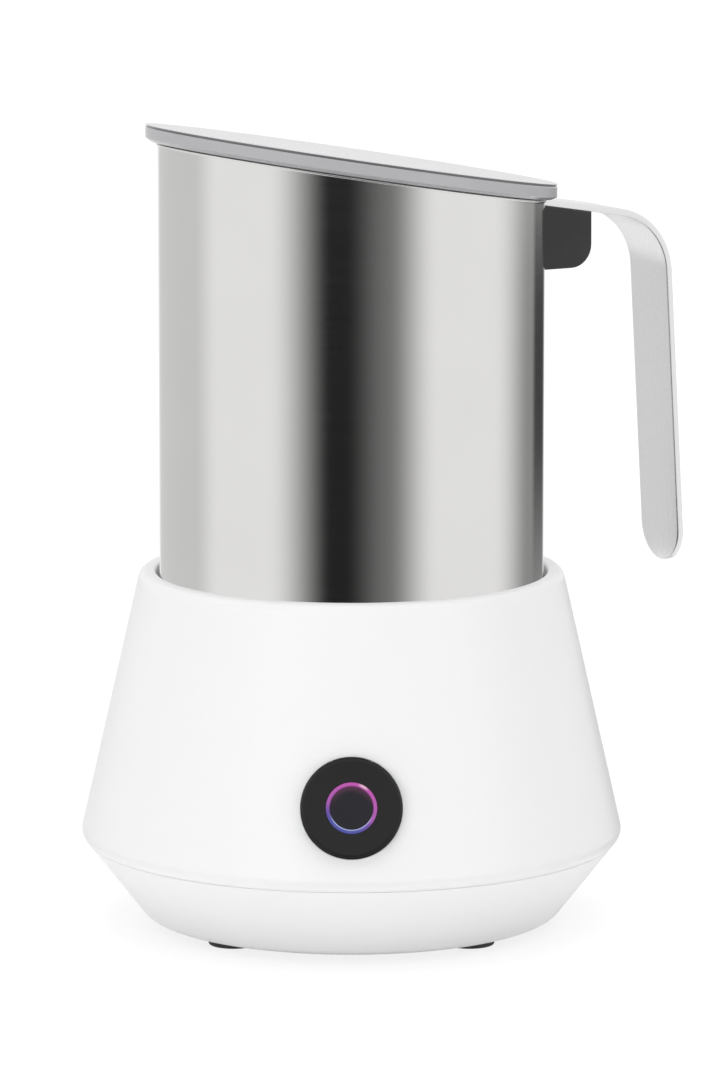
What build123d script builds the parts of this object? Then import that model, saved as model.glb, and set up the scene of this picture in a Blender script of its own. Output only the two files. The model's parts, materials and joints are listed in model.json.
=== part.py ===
from build123d import *
import math
import os

# Milk frother: a tapered base with an induction coil and a magnetic drive, a steel jug with a slanted rim
# and a strap handle, a lid and a magnetic whisk. Millimetres, +Z up, the base axis on Z, the table at Z = 0,
# the button on the -Y side.

# Base outline
BOTTOM_RADIUS = 49.5
WIDE_RADIUS = 65.2
WIDE_HEIGHT = 20.1
RIM_WIDTH = 3.7
BOTTOM_ROUND = 3.8
WIDE_ROUND = 3.2
RIM_ROUND = 0.9
MOUTH_ROUND = 0.7
WALL = 2.4
RIM_THICKNESS = 2.6

# Heights that stack up inside the base, from the table
FOOT_STAND = 2.0
TRAY_FLOOR = 2.4
MOTOR_DROP = 7.6
MOTOR_LENGTH = 30.0
BRACKET_PLATE = 2.0
STANDOFF_HEIGHT = 6.6
CARRIER_FLOOR = 2.5
COIL_HEIGHT = 3.0
COIL_HEADROOM = 0.5
LEDGE_THICKNESS = 2.2
PLATE_THICKNESS = 3.4
WELL_DEPTH = 25.8

# Clearances
SEAT_GAP = 0.3
SLIP = 0.1
RUNNING_GAP = 0.05

# Jug
JUG_TURN = 29.0
JUG_RADIUS = 46.0
JUG_WALL = 0.8
JUG_HEIGHT = 121.0
JUG_CORNER = 4.0
RIM_TILT = 9.5
LIP_REACH = 0.9
LIP_HEIGHT = 1.2
WELL_GAP = 1.0

# Handle
STRAP_WIDTH = 17.0
STRAP_THICKNESS = 1.6
STRAP_DROP = 0.3
STRAP_BITE = 0.4
ROOT_BEND = 2.6
GRIP_BEND = 17.0
GRIP_STANDOFF = 40.2
GRIP_LEAN = 3.4
GRIP_LENGTH = 86.2
BLOCK_LENGTH = 14.5
BLOCK_DEPTH = 15.0
BLOCK_OUTER_ROUND = 5.5
BLOCK_INNER_ROUND = 1.0
FLANGE_TAIL = 0.6

# Lid
LID_OVERHANG = 2.0
LID_THICKNESS = 4.0
LID_TOP_ROUND = 0.5
LID_LOW_ROUND = 1.2
PLUG_DEPTH = 6.0
PLUG_WALL = 2.0
SEAL_WALL = 1.8
SEAL_HEIGHT = 5.0
SEAL_LIP = 1.2
SEAL_GAP = 0.2

# Button, on the slope of the front
BUTTON_HEIGHT = 39.9
BUTTON_RADIUS = 11.7
BUTTON_PROUD = 1.5
BUTTON_TRAVEL = 0.8
BUTTON_CAP = 2.6
BUTTON_SKIRT = 1.5
BUTTON_FLANGE = 1.5
BUTTON_EDGE = 0.6
BUTTON_DISH = 0.25
GUIDE_DEPTH = 8.0
GUIDE_WALL = 2.0
LIGHT_OUTER = 6.05
LIGHT_INNER = 4.9
LIGHT_DEPTH = 1.2
LIGHT_LEG = 0.45
LIGHT_COUNT = 4
STEM_RADIUS = 2.0

# Control board behind the button
CONTROL_WIDTH = 42.0
CONTROL_TALL = 22.0
BOARD = 1.6
SWITCH_SIDE = 6.0
SWITCH_BODY = 3.5
PLUNGER_RADIUS = 1.7
PLUNGER_HEIGHT = 1.4
LAMP_SIDE = 2.4
LAMP_HEIGHT = 1.6
PILLAR_RADIUS = 2.5

# Feet
FOOT_RADIUS = 6.0
FOOT_RING = 39.6
FOOT_RECESS = 1.0
FOOT_ROUND = 0.5
FOOT_SIDES = {"front_left": 225, "front_right": 315, "rear_left": 135, "rear_right": 45}

# Seam between the two housings
SEAM_DROP = 1.3
SEAM_HEIGHT = 0.4
SEAM_DEPTH = 0.8
TONGUE_WALL = 1.3
TONGUE_RISE = 3.0

# Screws: shank radius, head radius, head height
HOUSING_SCREW = (1.5, 2.8, 2.0)
SMALL_SCREW = (1.2, 2.2, 1.6)
HOUSING_SCREW_BITE = 12.0
SMALL_SCREW_BITE = 2.4
POST_RADIUS = 4.0
POST_HEIGHT = 25.6
POST_WEB = 6.0
POST_ANGLES = (20, 160, 200, 340)

# Vents under the tray
VENT_COUNT = 12
VENT_WIDTH = 2.2
VENT_LENGTH = 12.0
VENT_RING = 22.0

# Cord gland at the back
GLAND_HEIGHT = 13.5
GLAND_RADIUS = 5.0
GLAND_BORE = 3.3
GLAND_FLANGE = 2.0
GLAND_FLANGE_THICKNESS = 2.0
GLAND_PROUD = 0.8

# Drive
MOTOR_RADIUS = 13.9
MOTOR_COLLAR = 0.7
MOTOR_COLLAR_HEIGHT = 4.0
MOTOR_BOSS_RADIUS = 5.0
SHAFT_RADIUS = 1.5
SHAFT_DEPTH = 22.0
MOTOR_SCREW_RING = 8.5
BRACKET_RADIUS = 17.5
BRACKET_ARM = 8.0
BRACKET_RING = 27.0
BRACKET_POST = 3.2
BRACKET_ANGLES = (30, 150, 270)
ROTOR_RADIUS = 12.4
ROTOR_LIFT = 1.0
ROTOR_HUB_RADIUS = 4.0
ROTOR_DISC = 6.8
ROTOR_CLEARANCE = 0.8
MAGNET_RADIUS = 3.4
MAGNET_HEIGHT = 4.0
MAGNET_RING = 7.8
MAGNET_COUNT = 4

# Heating
COIL_OUTER = 36.7
CARRIER_WALL = 1.6
FERRITE_COUNT = 6
FERRITE_WIDTH = 6.0
FERRITE_HEIGHT = 3.0
EAR_RADIUS = 3.4
EAR_ANGLES = (90, 235, 305)
SENSOR_RADIUS = 2.6
SENSOR_HEIGHT = 5.0
SENSOR_ANGLE = 62
SENSOR_WEB = 1.5

# Power board
BOARD_RISE = 4.6
BOARD_MARGIN = 1.5
BOARD_POST = 3.0
BOARD_POST_RING = 33.0
BOARD_POST_ANGLES = (45, 135, 225, 315)
MOTOR_ROOM = 1.4
CAPACITOR_SIZE = (7.0, 18.0, 14.0)
CAPACITOR_SPACING = 8.0
PART_GAP = 1.6
CAN_RADIUS = 5.0
CAN_HEIGHT = 18.0
CAN_ANGLE = -70
CAN_GROOVE = 0.5
CAN_GROOVE_RISE = 1.8
CHOKE_ANGLE = -112
CHOKE_RADIUS = 6.5
CHOKE_HEIGHT = 12.0
CHOKE_FLANGE = 2.0
CHOKE_WAIST = 1.6
SINK_PLATE = 3.0
SINK_WIDTH = 26.0
SINK_TALL = 18.0
FIN_COUNT = 6
FIN_LENGTH = 7.0
FIN_THICKNESS = 1.6
TRANSISTOR_SIZE = (4.5, 15.5, 14.0)
TERMINAL_SIZE = (14.0, 8.0, 9.0)
FUSE_RADIUS = 4.2
FUSE_HEIGHT = 8.0
FUSE_ANGLE = 65

# Whisk
PIN_RADIUS = 2.0
PIN_HEIGHT = 8.5
PIN_FOOT_RADIUS = 4.5
PIN_FOOT = 0.6
HUB_RADIUS = 10.5
HUB_HEIGHT = 4.6
HUB_BOSS_RADIUS = 4.4
HUB_BOSS_TOP = 2.0
WHISK_MAGNET_RADIUS = 2.3
WHISK_MAGNET_HEIGHT = 3.0
WHISK_MAGNET_RING = 7.2
CORE_RING = 18.0
CORE_RADIUS = 2.0
ARM_WIDTH = 1.6
ARM_HEIGHT = 2.2
ARM_ANGLES = (0, 120, 240)
CURL_COUNT = 18
CURL_RADIUS = 2.8
WIRE_RADIUS = 0.45
CURL_GAP_TURN = 4.0
WHISK_RUN = 0.6

# Heights worked out from the stack
TRAY_BOTTOM = FOOT_STAND
TRAY_INSIDE = TRAY_BOTTOM + TRAY_FLOOR
WIDE_Z = TRAY_BOTTOM + WIDE_HEIGHT
SEAM_Z = WIDE_Z - SEAM_DROP
MOTOR_BOTTOM = TRAY_INSIDE + MOTOR_DROP
MOTOR_TOP = MOTOR_BOTTOM + MOTOR_LENGTH
BRACKET_TOP = MOTOR_TOP + BRACKET_PLATE
CARRIER_BOTTOM = BRACKET_TOP + STANDOFF_HEIGHT
CARRIER_SEAT = CARRIER_BOTTOM + CARRIER_FLOOR
PLATE_BOTTOM = CARRIER_SEAT + COIL_HEIGHT + COIL_HEADROOM
PLATE_TOP = PLATE_BOTTOM + PLATE_THICKNESS
LEDGE_BOTTOM = PLATE_BOTTOM - LEDGE_THICKNESS
BASE_TOP = PLATE_TOP + WELL_DEPTH
CUP_TOP = BASE_TOP - RIM_THICKNESS
POST_TOP = TRAY_INSIDE + POST_HEIGHT
SCREW_SEAT = POST_TOP - POST_WEB
BOARD_BOTTOM = TRAY_INSIDE + BOARD_RISE
BOARD_TOP = BOARD_BOTTOM + BOARD
ROTOR_BOTTOM = BRACKET_TOP + ROTOR_LIFT
ROTOR_TOP = PLATE_BOTTOM - ROTOR_CLEARANCE
JUG_BOTTOM = PLATE_TOP + SEAT_GAP
JUG_INSIDE = JUG_BOTTOM + JUG_WALL
RIM_Z = JUG_BOTTOM + JUG_HEIGHT
LID_BOTTOM = RIM_Z + SEAT_GAP
LID_TOP = LID_BOTTOM + LID_THICKNESS
HUB_BOTTOM = JUG_INSIDE + PIN_FOOT + SEAT_GAP
CORE_Z = JUG_INSIDE + WHISK_RUN + WIRE_RADIUS + CURL_RADIUS

# Radii worked out from their neighbours
WELL_RADIUS = JUG_RADIUS + WELL_GAP
TOP_RADIUS = WELL_RADIUS + RIM_WIDTH
JUG_BORE = JUG_RADIUS - JUG_WALL
STRAP_ROOT = JUG_RADIUS - STRAP_BITE
STRAP_FACE = STRAP_ROOT + STRAP_THICKNESS
BLOCK_REACH = STRAP_FACE + BLOCK_LENGTH
GRIP_REACH = JUG_RADIUS + GRIP_STANDOFF
LID_RADIUS = JUG_RADIUS + LIP_REACH + LID_OVERHANG
SEAL_RADIUS = JUG_BORE - SEAL_GAP
SEAL_BORE = SEAL_RADIUS - SEAL_LIP - SEAL_WALL
CARRIER_HOLE = ROTOR_RADIUS + ROTOR_CLEARANCE
COIL_INNER = CARRIER_HOLE + CARRIER_WALL + SLIP
CARRIER_RADIUS = COIL_OUTER + SLIP + CARRIER_WALL
LEDGE_BORE = CARRIER_RADIUS + SEAT_GAP
POST_RING = LEDGE_BORE + POST_RADIUS
SENSOR_RING = LEDGE_BORE + SENSOR_WEB + SENSOR_RADIUS
EAR_RING = CARRIER_RADIUS + EAR_RADIUS
BOARD_RADIUS = POST_RING - POST_RADIUS - BOARD_MARGIN
ROOM = 2 * (GRIP_REACH + WIDE_RADIUS)

# Slopes of the two cones
LOWER_SLOPE = (WIDE_RADIUS - BOTTOM_RADIUS) / WIDE_HEIGHT
UPPER_SLOPE = (WIDE_RADIUS - TOP_RADIUS) / (BASE_TOP - WIDE_Z)
LOWER_INSET = WALL * math.hypot(1, LOWER_SLOPE)
UPPER_INSET = WALL * math.hypot(1, UPPER_SLOPE)
RIM_SLOPE = math.tan(math.radians(RIM_TILT))

# Button frame: local Z points out of the slope, local Y up it
BUTTON_SURFACE = WIDE_RADIUS - UPPER_SLOPE * (BUTTON_HEIGHT - WIDE_Z)
BUTTON = Plane(
    origin=(0, -BUTTON_SURFACE, BUTTON_HEIGHT),
    x_dir=(1, 0, 0),
    z_dir=(0, -1, UPPER_SLOPE),
).location
BUTTON_BORE = BUTTON_RADIUS + SEAT_GAP
FLANGE_TOP = -GUIDE_DEPTH - SEAT_GAP
FLANGE_BOTTOM = FLANGE_TOP - BUTTON_FLANGE
PLUNGER_TOP = FLANGE_BOTTOM - BUTTON_TRAVEL - SEAT_GAP
CONTROL_FRONT = PLUNGER_TOP - PLUNGER_HEIGHT - SWITCH_BODY
PILLAR_OFFSET = BUTTON_BORE + GUIDE_WALL + PILLAR_RADIUS + 2 * SEAT_GAP
LIGHT_MID = (LIGHT_OUTER + LIGHT_INNER) / 2

UP = (Align.CENTER, Align.CENTER, Align.MIN)


def disc(radius, low, high):
    return Pos(0, 0, low) * Cylinder(radius, high - low, align=UP)


def ring(inner, outer, low, high):
    return disc(outer, low, high) - disc(inner, low, high)


def around(radius, angle):
    """A place on a circle about Z, turned to face outwards."""
    return Rot(0, 0, angle) * Pos(radius, 0, 0)


def on_board(x, y, size):
    """A box that stands on the power board."""
    return Pos(x, y, BOARD_TOP) * Box(*size, align=UP)


def screw(sizes, seat, length):
    """A screw along +Z with its head under the seat."""
    shank, head, height = sizes
    return disc(head, seat - height, seat) + disc(shank, seat, seat + length)


def spun(*points, rounds=()):
    """A solid of revolution about Z from (radius, height) points, with rounded corners."""
    face = make_face(Polyline(*points, close=True))
    for corner, radius in rounds:
        face = fillet(face.vertices().sort_by_distance((*corner, 0))[0], radius)
    return revolve(Plane.XZ * face, axis=Axis.Z)


def slab(low, high):
    """The space between two planes that fall towards +X by the rim's tilt, by their heights on the axis."""
    thickness = (high - low) * math.cos(math.radians(RIM_TILT))
    return Pos(0, 0, (low + high) / 2) * Rot(0, RIM_TILT, 0) * Box(ROOM, ROOM, thickness)


def turned(shape):
    """Turns a piece of the jug or lid so that the handle points the right way."""
    return Rot(0, 0, JUG_TURN) * shape


def group(solids):
    return Compound(children=list(solids))


# Base housings


def lower_inside(z):
    return WIDE_RADIUS - LOWER_SLOPE * (WIDE_Z - z) - LOWER_INSET


def upper_inside(z):
    return WIDE_RADIUS - UPPER_SLOPE * (z - WIDE_Z) - UPPER_INSET


def envelope():
    low_corner = (BOTTOM_RADIUS, TRAY_BOTTOM)
    wide_corner = (WIDE_RADIUS, WIDE_Z)
    rim_corner = (TOP_RADIUS, BASE_TOP)
    return spun(
        (0, TRAY_BOTTOM), low_corner, wide_corner, rim_corner, (0, BASE_TOP),
        rounds=((low_corner, BOTTOM_ROUND), (wide_corner, WIDE_ROUND), (rim_corner, RIM_ROUND)),
    )


def cavity():
    knee = WIDE_Z + (LOWER_INSET - UPPER_INSET) / (LOWER_SLOPE + UPPER_SLOPE)
    return spun(
        (0, TRAY_INSIDE), (lower_inside(TRAY_INSIDE), TRAY_INSIDE), (lower_inside(knee), knee),
        (upper_inside(CUP_TOP), CUP_TOP), (0, CUP_TOP),
    )


def upper_housing():
    above = disc(ROOM, SEAM_Z, BASE_TOP + ROOM)
    hull = envelope() & above
    shell = hull - cavity() - disc(WELL_RADIUS, CUP_TOP, BASE_TOP)
    mouth = shell.edges().filter_by(GeomType.CIRCLE).sort_by_distance((WELL_RADIUS, 0, BASE_TOP))[0]
    shell = fillet(mouth, MOUTH_ROUND)
    guide = disc(BUTTON_BORE + GUIDE_WALL, -GUIDE_DEPTH, WALL)
    for side in (-1, 1):
        pillar = disc(PILLAR_RADIUS, CONTROL_FRONT, WALL)
        hole = disc(SMALL_SCREW[0] + SLIP, CONTROL_FRONT, CONTROL_FRONT + 2 * SMALL_SCREW_BITE)
        guide += Pos(side * PILLAR_OFFSET, 0, 0) * (pillar - hole)
    shell += (BUTTON * guide) & hull
    return shell - BUTTON * disc(BUTTON_BORE, -GUIDE_DEPTH, ROOM / 4)


def lower_housing():
    below = disc(ROOM, TRAY_BOTTOM, SEAM_Z)
    tray = envelope() & below
    tray -= cavity()
    tongue_outer = lower_inside(SEAM_Z) - SEAT_GAP
    tongue = ring(tongue_outer - TONGUE_WALL, tongue_outer, SEAM_Z - TONGUE_RISE, SEAM_Z + TONGUE_RISE)
    tray += tongue
    edge = lower_inside(SEAM_Z) + LOWER_INSET
    tray -= ring(edge - SEAM_DEPTH, ROOM, SEAM_Z - SEAM_HEIGHT, SEAM_Z)
    for angle in POST_ANGLES:
        post = disc(POST_RADIUS, TRAY_INSIDE, POST_TOP)
        tray += around(POST_RING, angle) * post
        hole = disc(HOUSING_SCREW[1] + SLIP, TRAY_BOTTOM, SCREW_SEAT)
        hole += disc(HOUSING_SCREW[0] + SLIP, SCREW_SEAT, POST_TOP)
        tray -= around(POST_RING, angle) * hole
    for angle in BOARD_POST_ANGLES:
        post = disc(BOARD_POST, TRAY_INSIDE, BOARD_BOTTOM)
        hole = disc(SMALL_SCREW[0] + SLIP, BOARD_BOTTOM - SMALL_SCREW_BITE - SLIP, BOARD_BOTTOM)
        tray += around(BOARD_POST_RING, angle) * (post - hole)
    for angle in FOOT_SIDES.values():
        tray -= around(FOOT_RING, angle) * disc(FOOT_RADIUS + SLIP, TRAY_BOTTOM, TRAY_BOTTOM + FOOT_RECESS)
    slot = extrude(SlotOverall(VENT_LENGTH, VENT_WIDTH), TRAY_FLOOR)
    for step in range(VENT_COUNT):
        place = around(VENT_RING, (step + 0.5) * 360 / VENT_COUNT)
        tray -= place * Pos(0, 0, TRAY_BOTTOM) * slot
    return tray - gland_axis(0) * disc(GLAND_RADIUS + SLIP, 0, ROOM / 4)


def foot(angle):
    pad = disc(FOOT_RADIUS, 0, TRAY_BOTTOM + FOOT_RECESS)
    pad = fillet(pad.edges().sort_by(Axis.Z)[0], FOOT_ROUND)
    return around(FOOT_RING, angle) * pad


def gland_axis(y):
    """A frame on the cord's line at the back, with local Z pointing out of the base."""
    return Plane(origin=(0, y, GLAND_HEIGHT), x_dir=(1, 0, 0), z_dir=(0, 1, 0)).location


def cord_gland():
    flange_radius = GLAND_RADIUS + GLAND_FLANGE
    inside = lower_inside(GLAND_HEIGHT - flange_radius) - SLIP
    sleeve = gland_axis(inside - GLAND_FLANGE_THICKNESS) * disc(GLAND_RADIUS, 0, ROOM / 4)
    low = GLAND_HEIGHT - GLAND_RADIUS - 1
    high = GLAND_HEIGHT + GLAND_RADIUS + 1
    skin = LOWER_INSET + GLAND_PROUD
    cone = spun((0, low), (lower_inside(low) + skin, low), (lower_inside(high) + skin, high), (0, high))
    flange = gland_axis(inside - GLAND_FLANGE_THICKNESS) * disc(flange_radius, 0, GLAND_FLANGE_THICKNESS)
    return (sleeve & cone) + flange - gland_axis(0) * disc(GLAND_BORE, 0, ROOM / 4)


def housing_screws():
    part = screw(HOUSING_SCREW, SCREW_SEAT, POST_WEB + HOUSING_SCREW_BITE)
    return group(around(POST_RING, angle) * part for angle in POST_ANGLES)


def well_cup():
    """The tube that the jug stands in, bonded under the rim, with a ledge for the well plate."""
    cup = ring(WELL_RADIUS, upper_inside(CUP_TOP) - SEAT_GAP, LEDGE_BOTTOM, CUP_TOP)
    cup += ring(LEDGE_BORE, WELL_RADIUS, LEDGE_BOTTOM, PLATE_BOTTOM)
    for angle in POST_ANGLES:
        cup += around(POST_RING, angle) * disc(POST_RADIUS, POST_TOP, LEDGE_BOTTOM)
        hole = disc(HOUSING_SCREW[0] + SLIP, POST_TOP, POST_TOP + HOUSING_SCREW_BITE + 1)
        cup -= around(POST_RING, angle) * hole
    for angle in EAR_ANGLES:
        cup += around(EAR_RING, angle) * disc(EAR_RADIUS - SEAT_GAP, CARRIER_SEAT, LEDGE_BOTTOM)
        hole = disc(SMALL_SCREW[0] + SLIP, CARRIER_SEAT, CARRIER_SEAT + SMALL_SCREW_BITE + SLIP)
        cup -= around(EAR_RING, angle) * hole
    return cup - around(SENSOR_RING, SENSOR_ANGLE) * disc(SENSOR_RADIUS + SLIP, LEDGE_BOTTOM, PLATE_BOTTOM)


def well_plate():
    return disc(WELL_RADIUS - SEAT_GAP, PLATE_BOTTOM, PLATE_TOP)


# Heating and drive


def coil_carrier():
    body = ring(CARRIER_HOLE, CARRIER_RADIUS, CARRIER_BOTTOM, PLATE_BOTTOM)
    body -= ring(COIL_INNER - SLIP, COIL_OUTER + SLIP, CARRIER_SEAT, PLATE_BOTTOM)
    for angle in EAR_ANGLES:
        ear = Pos(-EAR_RADIUS, 0, CARRIER_BOTTOM) * Box(2 * EAR_RADIUS, 2 * EAR_RADIUS, CARRIER_FLOOR, align=UP)
        ear += disc(EAR_RADIUS, CARRIER_BOTTOM, CARRIER_SEAT)
        body += around(EAR_RING, angle) * ear - disc(COIL_OUTER, CARRIER_BOTTOM, CARRIER_SEAT)
        body -= around(EAR_RING, angle) * disc(SMALL_SCREW[0] + SLIP, CARRIER_BOTTOM, CARRIER_SEAT)
    for angle in BRACKET_ANGLES:
        body -= around(BRACKET_RING, angle) * disc(SMALL_SCREW[0] + SLIP, CARRIER_BOTTOM, CARRIER_SEAT)
    return body


def carrier_screws():
    part = screw(SMALL_SCREW, CARRIER_BOTTOM, CARRIER_FLOOR + SMALL_SCREW_BITE)
    return group(around(EAR_RING, angle) * part for angle in EAR_ANGLES)


def induction_coil():
    return ring(COIL_INNER, COIL_OUTER, CARRIER_SEAT, CARRIER_SEAT + COIL_HEIGHT)


def ferrite_bars():
    length = COIL_OUTER - COIL_INNER - 2 * CARRIER_WALL
    bar = Pos(0, 0, CARRIER_BOTTOM - FERRITE_HEIGHT) * Box(length, FERRITE_WIDTH, FERRITE_HEIGHT, align=UP)
    middle = (COIL_OUTER + COIL_INNER) / 2
    return group(around(middle, step * 360 / FERRITE_COUNT) * bar for step in range(FERRITE_COUNT))


def motor_bracket():
    plate = disc(BRACKET_RADIUS, MOTOR_TOP, BRACKET_TOP)
    hole = disc(SMALL_SCREW[0] + SLIP, MOTOR_TOP, CARRIER_BOTTOM)
    arm = Pos(BRACKET_RING / 2, 0, MOTOR_TOP) * Box(BRACKET_RING, BRACKET_ARM, BRACKET_PLATE, align=UP)
    end = disc(BRACKET_ARM / 2, MOTOR_TOP, BRACKET_TOP) + disc(BRACKET_POST, MOTOR_TOP, CARRIER_BOTTOM)
    for angle in BRACKET_ANGLES:
        plate += Rot(0, 0, angle) * arm
        plate += around(BRACKET_RING, angle) * end
        plate -= around(BRACKET_RING, angle) * hole
    plate -= disc(MOTOR_BOSS_RADIUS + SLIP, MOTOR_TOP, BRACKET_TOP)
    for side in (0, 180):
        plate -= around(MOTOR_SCREW_RING, side) * disc(SMALL_SCREW[0] + SLIP, MOTOR_TOP, BRACKET_TOP)
    return plate


def bracket_screws():
    part = screw(SMALL_SCREW, MOTOR_TOP, BRACKET_PLATE + STANDOFF_HEIGHT + CARRIER_FLOOR - SLIP)
    return group(around(BRACKET_RING, angle) * part for angle in BRACKET_ANGLES)


def drive_motor():
    can = disc(MOTOR_RADIUS, MOTOR_BOTTOM, MOTOR_TOP)
    can += disc(MOTOR_RADIUS + MOTOR_COLLAR, MOTOR_TOP - MOTOR_COLLAR_HEIGHT, MOTOR_TOP)
    can += disc(MOTOR_BOSS_RADIUS, MOTOR_TOP, BRACKET_TOP)
    can -= disc(SHAFT_RADIUS + RUNNING_GAP, MOTOR_TOP - SHAFT_DEPTH - SEAT_GAP, BRACKET_TOP)
    for side in (0, 180):
        depth = MOTOR_TOP - SMALL_SCREW_BITE - SLIP
        can -= around(MOTOR_SCREW_RING, side) * disc(SMALL_SCREW[0] + SLIP, depth, MOTOR_TOP)
    return can


def motor_screws():
    part = Rot(180, 0, 0) * screw(SMALL_SCREW, 0, BRACKET_PLATE + SMALL_SCREW_BITE)
    return group(around(MOTOR_SCREW_RING, side) * Pos(0, 0, BRACKET_TOP) * part for side in (0, 180))


def motor_shaft():
    return disc(SHAFT_RADIUS, MOTOR_TOP - SHAFT_DEPTH, ROTOR_TOP)


def magnet_rotor():
    body = disc(ROTOR_HUB_RADIUS, ROTOR_BOTTOM, ROTOR_TOP) + disc(ROTOR_RADIUS, ROTOR_TOP - ROTOR_DISC, ROTOR_TOP)
    body -= disc(SHAFT_RADIUS + RUNNING_GAP, ROTOR_BOTTOM, ROTOR_TOP)
    for step in range(MAGNET_COUNT):
        pocket = disc(MAGNET_RADIUS + RUNNING_GAP, ROTOR_TOP - MAGNET_HEIGHT, ROTOR_TOP)
        body -= around(MAGNET_RING, (step + 0.5) * 360 / MAGNET_COUNT) * pocket
    return body


def drive_magnets():
    magnet = disc(MAGNET_RADIUS, ROTOR_TOP - MAGNET_HEIGHT, ROTOR_TOP)
    return group(around(MAGNET_RING, (step + 0.5) * 360 / MAGNET_COUNT) * magnet for step in range(MAGNET_COUNT))


def temperature_sensor():
    tip = disc(SENSOR_RADIUS, PLATE_BOTTOM - SENSOR_HEIGHT, PLATE_BOTTOM)
    return around(SENSOR_RING, SENSOR_ANGLE) * tip


# Electrics


def power_board():
    board = ring(MOTOR_RADIUS + MOTOR_ROOM, BOARD_RADIUS, BOARD_BOTTOM, BOARD_TOP)
    for angle in BOARD_POST_ANGLES:
        board -= around(BOARD_POST_RING, angle) * disc(SMALL_SCREW[0] + SLIP, BOARD_BOTTOM, BOARD_TOP)
    return board


def board_screws():
    part = Rot(180, 0, 0) * screw(SMALL_SCREW, 0, BOARD + SMALL_SCREW_BITE)
    return group(around(BOARD_POST_RING, angle) * Pos(0, 0, BOARD_TOP) * part for angle in BOARD_POST_ANGLES)


def beside_motor(radius, angle):
    """A place on the power board for a round part next to the motor's hole."""
    return around(MOTOR_RADIUS + MOTOR_ROOM + PART_GAP + radius, angle)


def film_capacitors():
    first = MOTOR_RADIUS + MOTOR_ROOM + CAPACITOR_SPACING / 2
    return group(on_board(first + step * CAPACITOR_SPACING, 0, CAPACITOR_SIZE) for step in range(2))


def electrolytic_capacitor():
    can = disc(CAN_RADIUS, BOARD_TOP, BOARD_TOP + CAN_HEIGHT)
    low = BOARD_TOP + CAN_GROOVE_RISE
    can -= ring(CAN_RADIUS - CAN_GROOVE, ROOM, low, low + CAN_GROOVE)
    return beside_motor(CAN_RADIUS, CAN_ANGLE) * can


def choke():
    drum = disc(CHOKE_RADIUS, BOARD_TOP, BOARD_TOP + CHOKE_HEIGHT)
    low = BOARD_TOP + CHOKE_FLANGE
    drum -= ring(CHOKE_RADIUS - CHOKE_WAIST, ROOM, low, low + CHOKE_HEIGHT - 2 * CHOKE_FLANGE)
    return beside_motor(CHOKE_RADIUS, CHOKE_ANGLE) * drum


def sink_face():
    """The heat sink's inner face, as far to the left as the transistor needs."""
    return -(MOTOR_RADIUS + MOTOR_ROOM + TRANSISTOR_SIZE[0])


def heat_sink():
    plate = on_board(sink_face() - SINK_PLATE / 2, 0, (SINK_PLATE, SINK_WIDTH, SINK_TALL))
    pitch = (SINK_WIDTH - FIN_THICKNESS) / (FIN_COUNT - 1)
    for step in range(FIN_COUNT):
        across = -SINK_WIDTH / 2 + FIN_THICKNESS / 2 + step * pitch
        size = (FIN_LENGTH, FIN_THICKNESS, SINK_TALL)
        plate += on_board(sink_face() - SINK_PLATE - FIN_LENGTH / 2, across, size)
    return plate


def power_transistor():
    return on_board(sink_face() + TRANSISTOR_SIZE[0] / 2, 0, TRANSISTOR_SIZE)


def terminal_block():
    return on_board(0, BOARD_RADIUS - TERMINAL_SIZE[1], TERMINAL_SIZE)


def fuse():
    return beside_motor(FUSE_RADIUS, FUSE_ANGLE) * disc(FUSE_RADIUS, BOARD_TOP, BOARD_TOP + FUSE_HEIGHT)


def control_board():
    size = (CONTROL_WIDTH, CONTROL_TALL, BOARD)
    board = Pos(0, 0, CONTROL_FRONT - BOARD) * Box(*size, align=UP)
    for side in (-1, 1):
        hole = disc(SMALL_SCREW[0] + SLIP, CONTROL_FRONT - BOARD, CONTROL_FRONT)
        board -= Pos(side * PILLAR_OFFSET, 0, 0) * hole
    return BUTTON * board


def control_board_screws():
    part = screw(SMALL_SCREW, CONTROL_FRONT - BOARD, BOARD + SMALL_SCREW_BITE)
    return group(BUTTON * Pos(side * PILLAR_OFFSET, 0, 0) * part for side in (-1, 1))


def push_switch():
    body = Pos(0, 0, CONTROL_FRONT) * Box(SWITCH_SIDE, SWITCH_SIDE, SWITCH_BODY, align=UP)
    body += disc(PLUNGER_RADIUS, CONTROL_FRONT + SWITCH_BODY, PLUNGER_TOP)
    return BUTTON * body


def indicator_lamps():
    lamp = Pos(0, 0, CONTROL_FRONT) * Box(LAMP_SIDE, LAMP_SIDE, LAMP_HEIGHT, align=UP)
    return group(BUTTON * light_place(step) * lamp for step in range(LIGHT_COUNT))


# Button


def light_place(step):
    return around(LIGHT_MID, (step + 0.5) * 360 / LIGHT_COUNT)


def button_cap():
    dish = BUTTON_PROUD - BUTTON_DISH
    cap = spun(
        (0, FLANGE_BOTTOM), (BUTTON_RADIUS + BUTTON_FLANGE, FLANGE_BOTTOM),
        (BUTTON_RADIUS + BUTTON_FLANGE, FLANGE_TOP), (BUTTON_RADIUS, FLANGE_TOP),
        (BUTTON_RADIUS, BUTTON_PROUD), (LIGHT_OUTER + BUTTON_EDGE, dish), (0, dish),
        rounds=(((BUTTON_RADIUS, BUTTON_PROUD), BUTTON_EDGE),),
    )
    ceiling = BUTTON_PROUD - BUTTON_CAP
    cap -= ring(STEM_RADIUS, BUTTON_RADIUS - BUTTON_SKIRT, FLANGE_BOTTOM, ceiling)
    cap -= ring(LIGHT_INNER - RUNNING_GAP, LIGHT_OUTER + RUNNING_GAP, dish - LIGHT_DEPTH, BUTTON_PROUD)
    for step in range(LIGHT_COUNT):
        cap -= light_place(step) * disc(LIGHT_LEG + RUNNING_GAP, ceiling, dish)
    return BUTTON * cap


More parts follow.
